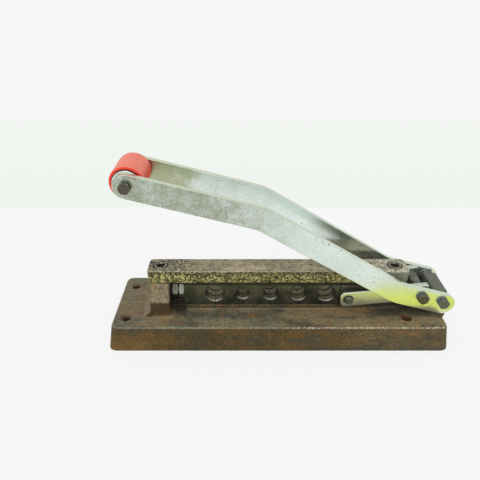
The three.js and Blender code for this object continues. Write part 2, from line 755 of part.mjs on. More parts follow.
function leverBar() {
  const shape = leverShape();
  addHole(shape, 0, 0, boltHole);
  addHole(shape, crankX - pivotX, crankZ - pivotZ, boltHole);
  addHole(shape, gripPoint.x, gripPoint.y, boltHole);
  const geometry = new THREE.ExtrudeGeometry(shape, {
    depth: LEVER_THICKNESS - 2 * LEVER_EDGE,
    curveSegments: ARC_STEPS,
    bevelThickness: LEVER_EDGE,
    bevelSize: LEVER_EDGE,
    bevelOffset: -LEVER_EDGE,
    bevelSegments: 1,
  });
  return geometry.rotateX(Math.PI / 2).translate(0, LEVER_THICKNESS / 2 - LEVER_EDGE, 0);
}

// Assembly

function named(name, geometry, material, x = 0, y = 0, z = 0) {
  const mesh = new THREE.Mesh(geometry, material);
  mesh.name = name;
  mesh.position.set(x, y, z);
  return mesh;
}

// Turns a piece built along Z so that it lies along Y, pointing away from the user
function alongY(mesh, turn = 0) {
  mesh.rotation.set(-Math.PI / 2, 0, degrees(turn));
  return mesh;
}

// Turns a piece built along Z so that it lies along X, pointing to the left
function alongX(mesh) {
  mesh.rotation.set(0, -Math.PI / 2, 0);
  return mesh;
}

function frameGroup() {
  const group = new THREE.Group();
  group.add(named('base_casting', baseCasting(), castIron));
  group.add(named('top_bar', topBar(), barSteel, (leftPostX + rightPostX) / 2, 0, barBottom));
  group.add(named('bar_screw_left', socketScrew(), blackSteel, leftPostX, 0, barTop));
  group.add(named('bar_screw_right', socketScrew(), blackSteel, rightPostX, 0, barTop));
  const boltSeatX = adjustFaceX - ADJUST_HEAD_HEIGHT;
  const boltTipX = leftPostX - POST_LENGTH / 2 + ADJUST_TIP_INSET;
  const bolt = hexBolt(ADJUST_ACROSS, ADJUST_HEAD_HEIGHT, ADJUST_RADIUS, boltSeatX - boltTipX);
  group.add(alongX(named('adjusting_bolt', bolt, blackSteel, boltSeatX, 0, adjustZ)));
  const nut = hexNut(ADJUST_ACROSS, LOCK_NUT_HEIGHT, adjustHole);
  group.add(alongX(named('adjusting_lock_nut', nut, tubeSteel, lockNutX, 0, adjustZ)));
  return group;
}

function dieGroup() {
  const group = new THREE.Group();
  for (let index = 0; index <= boreXs.length; index += 1) {
    group.add(named(`die_block_${index + 1}`, dieBlock(index), dieSteel));
  }
  group.add(named('ram_block', ramBlock(), dieSteel));
  group.add(alongY(named('ram_pin', ramPin(), tubeSteel, ramPinX, -ramPinReach, ramPinZ)));
  return group;
}

function linkGroup() {
  const group = new THREE.Group();
  group.position.set(ramPinX, 0, ramPinZ);
  group.rotation.y = -Math.atan2(crankZ - ramPinZ, crankX - ramPinX);
  const middleY = (linkInner + linkOuter) / 2;
  group.add(named('link_near', linkGeometry(), zincPlate, 0, -middleY));
  group.add(named('link_far', linkGeometry(), zincPlate, 0, middleY));
  return group;
}

// Bolt and nut that clamp the two lever bars at one of the lever's three holes
function leverBolt(prefix, x, z, turn) {
  const length = 2 * leverOuter + 2 * SEAT_GAP + BOLT_NUT_HEIGHT + BOLT_TIP_LENGTH;
  const bolt = hexBolt(BOLT_HEAD_ACROSS, BOLT_HEAD_HEIGHT, BOLT_RADIUS, length);
  const nut = hexNut(BOLT_HEAD_ACROSS, BOLT_NUT_HEIGHT, boltHole);
  const seat = leverOuter + SEAT_GAP;
  return [
    alongY(named(`${prefix}_bolt`, bolt, blackSteel, x, -seat, z), turn),
    alongY(named(`${prefix}_nut`, nut, blackSteel, x, seat, z), turn),
  ];
}

function leverGroup() {
  const group = new THREE.Group();
  group.position.set(pivotX, 0, pivotZ);
  const middleY = (leverInner + leverOuter) / 2;
  group.add(named('lever_bar_near', leverBar(), zincPlate, 0, -middleY));
  group.add(named('lever_bar_far', leverBar(), zincPlate, 0, middleY));

  const throwX = crankX - pivotX;
  const throwZ = crankZ - pivotZ;
  group.add(...leverBolt('pivot', 0, 0, PIVOT_HEAD_TURN));
  group.add(...leverBolt('crank', throwX, throwZ, CRANK_HEAD_TURN));
  group.add(...leverBolt('roller', gripPoint.x, gripPoint.y, ROLLER_HEAD_TURN));

  const bushHalf = leverInner - SEAT_GAP;
  const bush = tube(boltHole, pivotBushRadius, 2 * bushHalf);
  group.add(alongY(named('pivot_bush', bush, tubeSteel, 0, -bushHalf)));
  const washerStart = LUG_WIDTH / 2 + SEAT_GAP;
  const washer = tube(pivotBushRadius + PIN_GAP, PIVOT_WASHER_RADIUS, bushHalf - washerStart);
  group.add(alongY(named('pivot_washer_near', washer, blackSteel, 0, -bushHalf)));
  group.add(alongY(named('pivot_washer_far', washer.clone(), blackSteel, 0, washerStart)));

  const tubeHalf = linkInner - SEAT_GAP;
  const crankTube = tube(boltHole, CRANK_TUBE_RADIUS, 2 * tubeHalf);
  group.add(alongY(named('crank_spacer', crankTube, tubeSteel, throwX, -tubeHalf, throwZ)));
  const shimStart = linkOuter + SEAT_GAP;
  const shim = tube(boltHole, CRANK_WASHER_RADIUS, bushHalf - shimStart);
  group.add(alongY(named('crank_washer_near', shim, blackSteel, throwX, -bushHalf, throwZ)));
  group.add(alongY(named('crank_washer_far', shim.clone(), blackSteel, throwX, shimStart, throwZ)));
  group.add(...rollerPieces());
  return group;
}

// Plastic sleeve with both rims rounded off
function gripSleeve(length) {
  const inner = ROLLER_RADIUS - ROLLER_WALL;
  return turned([
    [inner, length],
    [ROLLER_RADIUS - ROLLER_EDGE, length],
    [ROLLER_RADIUS, length - ROLLER_EDGE],
    [ROLLER_RADIUS, ROLLER_EDGE],
    [ROLLER_RADIUS - ROLLER_EDGE, 0],
    [inner, 0],
    [inner, length],
  ]);
}

function rollerPieces() {
  const { x, y: z } = gripPoint;
  const washerOuter = leverInner - SEAT_GAP;
  const washerInner = washerOuter - ROLLER_WASHER_THICKNESS;
  const bushHalf = washerInner - SEAT_GAP;
  const bushRadius = ROLLER_RADIUS - ROLLER_WALL - PIN_GAP;
  const washer = tube(boltHole, ROLLER_WASHER_RADIUS, ROLLER_WASHER_THICKNESS);
  const bush = tube(boltHole, bushRadius, 2 * bushHalf);
  return [
    alongY(named('roller_washer_near', washer, zincPlate, x, -washerOuter, z)),
    alongY(named('roller_washer_far', washer.clone(), zincPlate, x, washerInner, z)),
    alongY(named('roller_bush', bush, tubeSteel, x, -bushHalf, z)),
    alongY(named('handle_roller', gripSleeve(2 * bushHalf), redPlastic, x, -bushHalf, z)),
  ];
}

const crimper = new THREE.Group();
crimper.add(frameGroup(), dieGroup(), linkGroup(), leverGroup());
export default crimper;
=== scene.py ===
"""Looks of the bench mount hose crimper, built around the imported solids. Metres, +Z up."""

import json
import math

import bmesh
import bpy
from mathutils import Matrix, Vector
from mathutils.geometry import tessellate_polygon


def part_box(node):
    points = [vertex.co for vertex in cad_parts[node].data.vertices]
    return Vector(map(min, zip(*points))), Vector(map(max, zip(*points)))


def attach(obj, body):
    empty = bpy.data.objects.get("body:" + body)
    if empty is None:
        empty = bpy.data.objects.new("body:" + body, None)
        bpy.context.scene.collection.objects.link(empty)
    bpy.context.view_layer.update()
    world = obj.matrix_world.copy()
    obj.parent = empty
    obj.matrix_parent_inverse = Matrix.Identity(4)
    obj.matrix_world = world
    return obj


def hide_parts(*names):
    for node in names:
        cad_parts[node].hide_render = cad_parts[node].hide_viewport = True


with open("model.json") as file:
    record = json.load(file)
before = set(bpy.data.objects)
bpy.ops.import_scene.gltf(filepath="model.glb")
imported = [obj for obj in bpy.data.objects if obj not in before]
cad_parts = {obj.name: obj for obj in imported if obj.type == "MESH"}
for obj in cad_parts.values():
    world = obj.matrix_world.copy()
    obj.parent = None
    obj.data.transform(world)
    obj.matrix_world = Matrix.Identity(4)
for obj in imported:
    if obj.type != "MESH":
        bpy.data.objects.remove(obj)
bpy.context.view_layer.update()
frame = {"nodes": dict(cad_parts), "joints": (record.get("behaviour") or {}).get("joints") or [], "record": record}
joints = {joint["name"]: joint for joint in frame["joints"]}

# Sizes in metres and angles in degrees, of forms that the solids hold in facets or leave out
FINE_STEPS = 64
FINEST_STEPS = 96
LEVER_EDGE = 0.0006
LEVER_HALF_WIDTH = 0.0098
LEVER_BEND_RADIUS = 0.042
LEVER_BEND_STEPS = 16
LEVER_END_STEPS = 36
LEVER_TIP_DROP = 0.0023
LEVER_OVERHANG = 0.001
LEVER_RUNS = ((0.0408 + LEVER_OVERHANG, 15.4), (0.1366, 31.3), (0.1066, 14.9))
LINK_HALF_WIDTH = 0.00745
LINK_HEEL_LENGTH = 0.007
LINK_HEEL_RADIUS = 0.0045
LINK_HEEL_STEPS = 10
LINK_TOE_LENGTH = 0.0072
LINK_TOE_RADIUS = 0.0015
LINK_TOE_STEPS = 8
LINK_EYE_HOLE = 0.0044
LINK_EDGE = 0.0006
RAM_PIN_RADIUS = 0.0039
RAM_PIN_HOLE = 0.0042
PIN_ROUNDING = 0.0008
PIN_ROUNDING_START = math.radians(-75)
PIN_CROWN = 0.0010
PIN_CROWN_RISE = 0.0002
BOLT_RADIUS = 0.0026
BOLT_HOLE = 0.0029
BOLT_ACROSS = 0.0087
BOLT_HEAD_HEIGHT = 0.0036
BOLT_NUT_HEIGHT = 0.0046
BOLT_EDGE = 0.0004
HEX_CHAMFER = 30
HEAD_TURNS = {"pivot": 24, "crank": 12, "roller": 40}
FOOT_TOP = 0.0246
POST_HALF_LENGTH = 0.0088
TOE_RISE = 0.0058
TOE_REACH = 0.0078
TOE_HALF_WIDTH = 0.0240
TOE_OVERLAP = 0.002
TOE_ROOT_RISE = 0.0015
TOE_SUNK = 0.001
TOE_LIP = 0.0004
TOE_EDGE = 0.0003
RAIL_HALF_WIDTH = 0.0111
ADJUST_RADIUS = 0.0045
ADJUST_HOLE = 0.0048
ADJUST_ACROSS = 0.015
ADJUST_HEAD_HEIGHT = 0.0049
THREAD_DEPTH = 0.0005
THREAD_PITCH = 0.00127
SCREW_HEAD_RADIUS = 0.006
SCREW_HEAD_HEIGHT = 0.0076
SCREW_SHANK_RADIUS = 0.0039
SCREW_SOCKET_ACROSS = 0.00635
SCREW_SOCKET_DEPTH = 0.0042
SCREW_DRILL_TIP = 0.45
SCREW_SINK_DEPTH = 0.0003
SCREW_EDGE = 0.0007
BORE_ABOVE_PIVOT = 0.0008
BORE_RADII = (0.0079, 0.0055, 0.0063, 0.0070, 0.0077)
BORE_MOUTH = 0.0009
GROOVE_DEPTH = 0.0011
GROOVE_WIDTH = 0.0018
LAND_COUNT = 3
TONGUE_GROOVE_HALF = 0.0038
TONGUE_GROOVE_DEPTH = 0.0015
DIE_EDGE = 0.0005
DIE_EDGE_ANGLE = 60
ROLLER_WALL = 0.0063
ROLLER_EDGE = 0.0012
ROLLER_EDGE_STEPS = 8
ROLLER_RECESS = 0.0010
ROLLER_LIP = 0.0020
RECESS_DRAFT = 0.0002
WALL_GAP = 0.0003
CUT_OVERRUN = 0.002
SMOOTHING_ROUNDS = 3

# Directions and turns
ALONG_Y = Vector((0, 1, 0))
ALONG_X = Vector((1, 0, 0))
UP = Vector((0, 0, 1))
QUARTER = math.pi / 2
SWAP_X_AND_Y = Matrix(((0, 1, 0, 0), (1, 0, 0, 0), (0, 0, 1, 0), (0, 0, 0, 1)))


def centre(node):
    low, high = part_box(node)
    return (low + high) / 2


def round_size(node):
    """Radius and half the length of a round node that lies along Y."""
    low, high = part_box(node)
    return (high.z - low.z) / 2, (high.y - low.y) / 2


def joint_place(name):
    return Vector(joints[name]["pos_m"])


DIE_NODES = [f"die_block_{number}" for number in range(1, 7)]
BAR_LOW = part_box("top_bar")[0].z
DIE_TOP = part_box(DIE_NODES[0])[1].z
ROLLER_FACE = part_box("handle_roller")[1].y
pivot_place = joint_place("lever_swing")
ram_pin_place = joint_place("link_swing")
roller_place = joint_place("roller_spin")
adjust_place = joint_place("adjusting_bolt_turn")
crank_place = centre("crank_spacer")
lever_spots = (pivot_place, crank_place, roller_place)


# Mesh helpers


def add_object(name, data):
    made = bpy.data.objects.new(name, data)
    bpy.context.scene.collection.objects.link(made)
    return made


def new_piece(name, vertices, faces):
    mesh = bpy.data.meshes.new(name)
    mesh.from_pydata([tuple(v) for v in vertices], [], faces)
    mesh.validate()
    piece = add_object(name, mesh)
    weld(piece)
    return piece


def weld(piece, distance=1e-7):
    """Merges double points and turns every face outwards."""
    form = bmesh.new()
    form.from_mesh(piece.data)
    bmesh.ops.remove_doubles(form, verts=form.verts, dist=distance)
    bmesh.ops.recalc_face_normals(form, faces=form.faces)
    form.to_mesh(piece.data)
    form.free()


def apply_modifiers(piece):
    graph = bpy.context.evaluated_depsgraph_get()
    mesh = bpy.data.meshes.new_from_object(piece.evaluated_get(graph))
    piece.modifiers.clear()
    piece.data = mesh
    return piece


def smooth_by_angle(piece, limit=math.radians(32)):
    """Rounded rims shade smoothly, large faces stay flat up to their rims."""
    form = bmesh.new()
    form.from_mesh(piece.data)
    for face in form.faces:
        face.smooth = True
    for edge in form.edges:
        edge.smooth = len(edge.link_faces) == 2 and edge.calc_face_angle(0) < limit
    form.to_mesh(piece.data)
    form.free()
    weights = piece.modifiers.new("weights", "WEIGHTED_NORMAL")
    weights.weight = 100
    weights.keep_sharp = True
    return apply_modifiers(piece)


def boolean(piece, cutters, operation="DIFFERENCE"):
    for cutter in cutters:
        modifier = piece.modifiers.new("cut", "BOOLEAN")
        modifier.object = cutter
        modifier.operation = operation
        modifier.solver = "EXACT"
    apply_modifiers(piece)
    for cutter in cutters:
        bpy.data.objects.remove(cutter)
    weld(piece)
    return piece


def lathe(name, outline, steps=FINE_STEPS, closed=False):
    """Turned form about Z from (radius, height) pairs. A closed outline makes a ring."""
    vertices, rings = [], []
    for radius, height in outline:
        count = 1 if radius == 0 else steps
        rings.append([len(vertices) + i for i in range(count)])
        for i in range(count):
            angle = 2 * math.pi * i / steps
            vertices.append((radius * math.cos(angle), radius * math.sin(angle), height))
    faces = []
    pairs = list(zip(rings, rings[1:])) + ([(rings[-1], rings[0])] if closed else [])
    for low, high in pairs:
        for i in range(steps):
            j = (i + 1) % steps
            corners = [low[i % len(low)], low[j % len(low)]]
            corners += [high[j % len(high)], high[i % len(high)]]
            faces.append(tuple(dict.fromkeys(corners)))
    return new_piece(name, vertices, faces)


def arc(x, z, radius, start, end, steps=5):
    """Points of a rounded corner in an outline."""
    angles = [start + (end - start) * i / steps for i in range(steps + 1)]
    return [(x + radius * math.cos(a), z + radius * math.sin(a)) for a in angles]


def circle(x, z, radius):
    return arc(x, z, radius, 0, 2 * math.pi, FINE_STEPS)[:-1]


def place(piece, origin, axis=UP, turn=0.0):
    """Moves a piece built about Z so that its axis and start lie where they belong."""
    spin = Matrix.Rotation(math.radians(turn), 4, "Z")
    aim = UP.rotation_difference(Vector(axis)).to_matrix().to_4x4()
    piece.data.transform(Matrix.Translation(origin) @ aim @ spin)
    return piece


def oriented(points, turn_left):
    points = [Vector(point) for point in points]
    area = sum(a.x * b.y - b.x * a.y for a, b in zip(points, points[1:] + points[:1]))
    return points if (area > 0) == turn_left else points[::-1]


def inset(points, distance):
    """Loop moved to its left by the distance."""
    moved = []
    for before, here, after in zip(points[-1:] + points[:-1], points, points[1:] + points[:1]):
        one, two = (here - before).normalized(), (after - here).normalized()
        left_one, left_two = Vector((-one.y, one.x)), Vector((-two.y, two.x))
        middle = (left_one + left_two).normalized()
        moved.append(here + middle * distance / max(0.5, middle.dot(left_one)))
    return moved


def slab(name, outer, holes, low, high, edge, edge_steps=3):
    """Plate with rounded rims: its outline lies in XZ and it runs from low to high along Y."""
    loops = [oriented(outer, True)] + [oriented(hole, False) for hole in holes]
    turns = [QUARTER * i / edge_steps for i in range(edge_steps + 1)]
    levels = [(edge * (1 - math.sin(t)), low + edge * (1 - math.cos(t))) for t in turns]
    levels += [(edge * (1 - math.cos(t)), high - edge * (1 - math.sin(t))) for t in turns]
    vertices, faces, ends = [], [], {0: [], len(levels) - 1: []}
    for loop in loops:
        starts = []
        for index, (distance, y) in enumerate(levels):
            ring = inset(loop, distance)
            starts.append(len(vertices))
            vertices += [(p.x, y, p.y) for p in ring]
            if index in ends:
                ends[index].append((starts[-1], ring))
        for one, two in zip(starts, starts[1:]):
            for i in range(len(loop)):
                j = (i + 1) % len(loop)
                faces.append((one + i, one + j, two + j, two + i))
    for rings in ends.values():
        numbers = [start + i for start, ring in rings for i in range(len(ring))]
        flat = [[p.to_3d() for p in ring] for start, ring in rings]
        faces += [tuple(numbers[i] for i in corners) for corners in tessellate_polygon(flat)]
    return new_piece(name, vertices, faces)


def hexagon(name, across, height, bore=0.0, flat_share=0.95, steps=72):
    """Hex head or nut about Z from 0 to its height, both faces chamfered as turned ones are."""
    flat = across / 2 * flat_share
    slope = math.tan(math.radians(HEX_CHAMFER))
    rings = [[], [], [], []]
    for i in range(steps):
        angle = 2 * math.pi * i / steps
        off_flat = (angle + math.pi / 6) % (math.pi / 3) - math.pi / 6
        side = across / 2 / math.cos(off_flat)
        drop = (side - flat) * slope
        profile = ((flat, 0), (side, drop), (side, height - drop), (flat, height))
        for ring, (radius, z) in zip(rings, profile):
            ring.append((radius * math.cos(angle), radius * math.sin(angle), z))
    if bore:
        for z in (height, 0):
            rings.append([(bore * x / flat, bore * y / flat, z) for x, y, _ in rings[0]])
    vertices = [v for ring in rings for v in ring]
    starts = [steps * i for i in range(len(rings))]
    pairs = list(zip(starts, starts[1:])) + ([(starts[-1], starts[0])] if bore else [])
    faces = []
    for a, b in pairs:
        faces += [(a + i, a + (i + 1) % steps, b + (i + 1) % steps, b + i) for i in range(steps)]
    if not bore:
        faces += [tuple(range(steps)), tuple(3 * steps + i for i in range(steps))]
    return new_piece(name, vertices, faces)


def thread_outline(radius, start, end):
    """Outline points, going up, of a rod with thread rings."""
    count = max(1, round((end - start) / THREAD_PITCH))
    step = (end - start) / count
    points = []
    for i in range(count):
        points += [(radius - THREAD_DEPTH, start + step * i), (radius, start + step * (i + 0.5))]
    return points + [(radius - THREAD_DEPTH, end)]


def join_pieces(name, *pieces):
    """One object from several closed shells that touch or pass into each other."""
    first, *others = pieces
    first.name = name
    return boolean(first, others, "UNION")


# Material helpers


class Shader:
    """A procedural material whose textures are fixed to the piece."""

    def __init__(self, name, marks=None, **constants):
        self.marks = marks or {}
        self.material = bpy.data.materials.new(name)
        self.material.use_nodes = True
        self.tree = self.material.node_tree
        self.surface = self.tree.nodes["Principled BSDF"]
        coordinates = self.tree.nodes.new("ShaderNodeTexCoord").outputs
        self.place, self.normal = coordinates["Object"], coordinates["Normal"]
        self.set(**constants)

    def set(self, **values):
        for key, value in values.items():
            self.feed(self.surface.inputs[key.replace("_", " ")], value)

    def feed(self, socket, value):
        if isinstance(value, bpy.types.NodeSocket):
            self.tree.links.new(value, socket)
        elif socket.type == "RGBA":
            socket.default_value = (*value, 1)
        else:
            socket.default_value = value

    def node(self, kind, inputs=(), **settings):
        made = self.tree.nodes.new("ShaderNode" + kind)
        for key, value in settings.items():
            setattr(made, key, value)
        for key, value in dict(inputs).items():
            self.feed(made.inputs[key], value)
        return made

    def noise(self, scale, detail, roughness, stretch=None, shift=0.0):
        place = self.place
        if stretch or shift:
            mapping = self.node("Mapping", {"Vector": place, "Location": (shift, shift, shift)})
            mapping.inputs["Scale"].default_value = stretch or (1, 1, 1)
            place = mapping.outputs["Vector"]
        inputs = {"Vector": place, "Scale": scale, "Detail": detail, "Roughness": roughness}
        return self.node("TexNoise", inputs).outputs["Fac"]

    def ramp(self, value, stops):
        """Colour or brightness looked up in (value, colour) stops."""
        made = self.node("ValToRGB", {"Fac": value})
        elements = made.color_ramp.elements
        while len(elements) < len(stops):
            elements.new(0.5)
        for element, (at, colour) in zip(elements, stops):
            element.position = at
            colour = (colour,) * 3 if isinstance(colour, (int, float)) else colour
            element.color = (*colour, 1)
        return made.outputs["Color"]

    def step(self, value, start, end, low=0.0, high=1.0):
        """Smooth change from low at the start to high at the end."""
        inputs = {"Value": value, "From Min": start, "From Max": end}
        inputs |= {"To Min": low, "To Max": high}
        return self.node("MapRange", inputs, interpolation_type="SMOOTHSTEP").outputs["Result"]

    def mix(self, share, one, two, blend="MIX"):
        made = self.node("MixRGB", {"Fac": share, "Color1": one, "Color2": two}, blend_type=blend)
        return made.outputs["Color"]

    def math(self, operation, one, two=0.0):
        made = self.node("Math", operation=operation)
        self.feed(made.inputs[0], one)
        self.feed(made.inputs[1], two)
        return made.outputs["Value"]

    def product(self, first, *others):
        for other in others:
            first = self.math("MULTIPLY", first, other)
        return first

    def facing(self, axis):
        """How far the surface faces along an axis of the piece itself."""
        return self.node("SeparateXYZ", {"Vector": self.normal}).outputs[axis]

    def aligned(self, axis):
        return self.math("ABSOLUTE", self.facing(axis))

    def along(self, axis):
        """Place along an axis, in metres."""
        return self.node("SeparateXYZ", {"Vector": self.place}).outputs[axis]

    def off_middle(self, axis):
        return self.math("ABSOLUTE", self.along(axis))

    def band(self, value, places):
        """1 where a value is in a band: (fades in, full), or also (still full, faded out)."""
        share = self.step(value, *places[:2])
        return self.product(share, self.step(value, *places[:1:-1])) if places[2:] else share

    def mark(self, base, name, *masks):
        """Paints a mark from the table over the base, in its bands and where the masks let it."""
        bands = dict(self.marks[name])
        colour = bands.pop("colour")
        share = self.product(bands.pop("share", 1.0), *masks)
        for axis, places in bands.items():
            share = self.product(share, self.band(self.along(axis), places))
        return self.mix(share, base, colour)

    def mottled(self, colour, share, value, stops):
        """Colour darkened and lightened by a ramp."""
        return self.mix(share, colour, self.ramp(value, stops), "MULTIPLY")

    def bump(self, *layers):
        """Chains bumps given as (height, distance, strength)."""
        normal = None
        for height, distance, strength in layers:
            inputs = {"Height": height, "Distance": distance, "Strength": strength}
            if normal:
                inputs["Normal"] = normal
            normal = self.node("Bump", inputs).outputs["Normal"]
        self.set(Normal=normal)


# Materials. Ramps are stops of (noise, colour). A mark has its colour, its share and its
# bands: places in metres along X, Y or Z where it fades in and is full, and where it ends.
# A name in _SHARE is a smooth change between two places, from one value to another.

IRON_TOP = (
    (0.36, (0.205, 0.205, 0.142)),
    (0.50, (0.195, 0.172, 0.098)),
    (0.64, (0.255, 0.186, 0.096)),
)
IRON_SIDE = (
    (0.36, (0.062, 0.047, 0.022)),
    (0.50, (0.084, 0.055, 0.021)),
    (0.66, (0.128, 0.072, 0.020)),
)
IRON_GRIT_AND_HIGHLIGHT = ((0.40, (0.12, 0.098, 0.058)), (0.56, (0.33, 0.295, 0.200)))
IRON_LUG = ((0.4, (0.118, 0.132, 0.112)), (0.6, (0.145, 0.160, 0.138)))
IRON_MOTTLE = ((0.32, 0.40), (0.68, 1.45))
IRON_LOW_SHARE = (0.020, 0.008, 0.25, 1.0)
IRON_SHOULDER = (0.0375, 0.0390)
IRON_POST_SIDE_HEIGHT = (0.0255, 0.0275, 0.0378, 0.0388)
IRON_POST_SIDE_ACROSS = (0.0195, 0.0210)
IRON_LUG_ALONG = (0.131, 0.133)
IRON_LUG_HEIGHT = (0.027, 0.029)
IRON_RIM_FACING = (0.55, 0.72, 0.90, 0.97)
IRON_RIM_ACROSS = (0.0345, 0.0360)
IRON_RIM_LEFT = (-0.139, -0.142)
IRON_RIM_SHARE = (-0.02, 0.06, 0.60, 0.75)
IRON_RIM_GRAIN_SHARE = (-0.02, 0.03, 0.15, 0.85)
IRON_RAIL_LINE = (0.0011, 0.0003)
IRON_HOLE_ACROSS = (0.0350, 0.0335)
IRON_HOLE_ALONG = (0.1430, 0.1415)
IRON_HOLE_SHARE = (-0.05, 0.05, 0.20, 0.60)
IRON_MARKS = {
    "right_side": dict(colour=(0.14, 0.125, 0.080), share=0.35, X=(0.03, 0.09)),
    "streaks": dict(colour=(0.050, 0.052, 0.042)),
    "rust": dict(colour=(0.29, 0.122, 0.036)),
    "orange_side": dict(colour=(0.215, 0.120, 0.030), share=0.45, X=(-0.100, -0.125)),
    "left_end": dict(colour=(0.155, 0.142, 0.105), share=0.6, X=(-0.105, -0.135)),
    "post_rust": dict(colour=(0.36, 0.17, 0.06), share=0.6),
    "post_side_shade": dict(colour=(0.062, 0.042, 0.018), share=0.75),
    "post_toe": dict(
        colour=(0.235, 0.205, 0.140),
        share=0.7,
        X=(-0.1200, -0.1190, -0.1124, -0.1116),
        Z=(0.0248, 0.0256),
    ),
    "rail_line": dict(colour=(0.33, 0.145, 0.052), Z=(0.0262, 0.0275, 0.0290, 0.0300)),
    "spill": dict(
        colour=(0.29, 0.130, 0.045), share=0.6, Y=(-0.0260, -0.0140, -0.0112, -0.0108)
    ),
    "oil_and_shadow": dict(
        colour=(0.016, 0.015, 0.012),
        share=0.9,
        X=(-0.0975, -0.0935, -0.0830, -0.0790),
        Y=(-0.0230, -0.0120, 0.0150, 0.0200),
    ),
    "shade_at_channel_end": dict(
        colour=(0.030, 0.028, 0.024),
        share=0.8,
        X=(0.048, 0.054, 0.108, 0.112),
        Y=(0.018, 0.016),
        Z=(0.0262, 0.0275),
    ),
    "shade_behind_links": dict(
        colour=(0.040, 0.036, 0.029),
        share=0.85,
        X=(0.068, 0.072, 0.092, 0.096),
        Y=(0.010, 0.012, 0.030, 0.034),
    ),
    "shadow_under_lever": dict(
        colour=(0.038, 0.036, 0.030),
        share=0.68,
        X=(0.074, 0.098),
        Y=(-0.0245, -0.0195),
        Z=(0.0262, 0.0256),
    ),
    "in_holes": dict(colour=(0.115, 0.036, 0.016), Z=(0.0243, 0.0235)),
    "worn_rim_and_highlight": dict(colour=(0.27, 0.25, 0.19)),
    "rim_grains": dict(colour=(0.62, 0.58, 0.46)),
    "pale_grains": dict(colour=(0.50, 0.43, 0.30)),
}


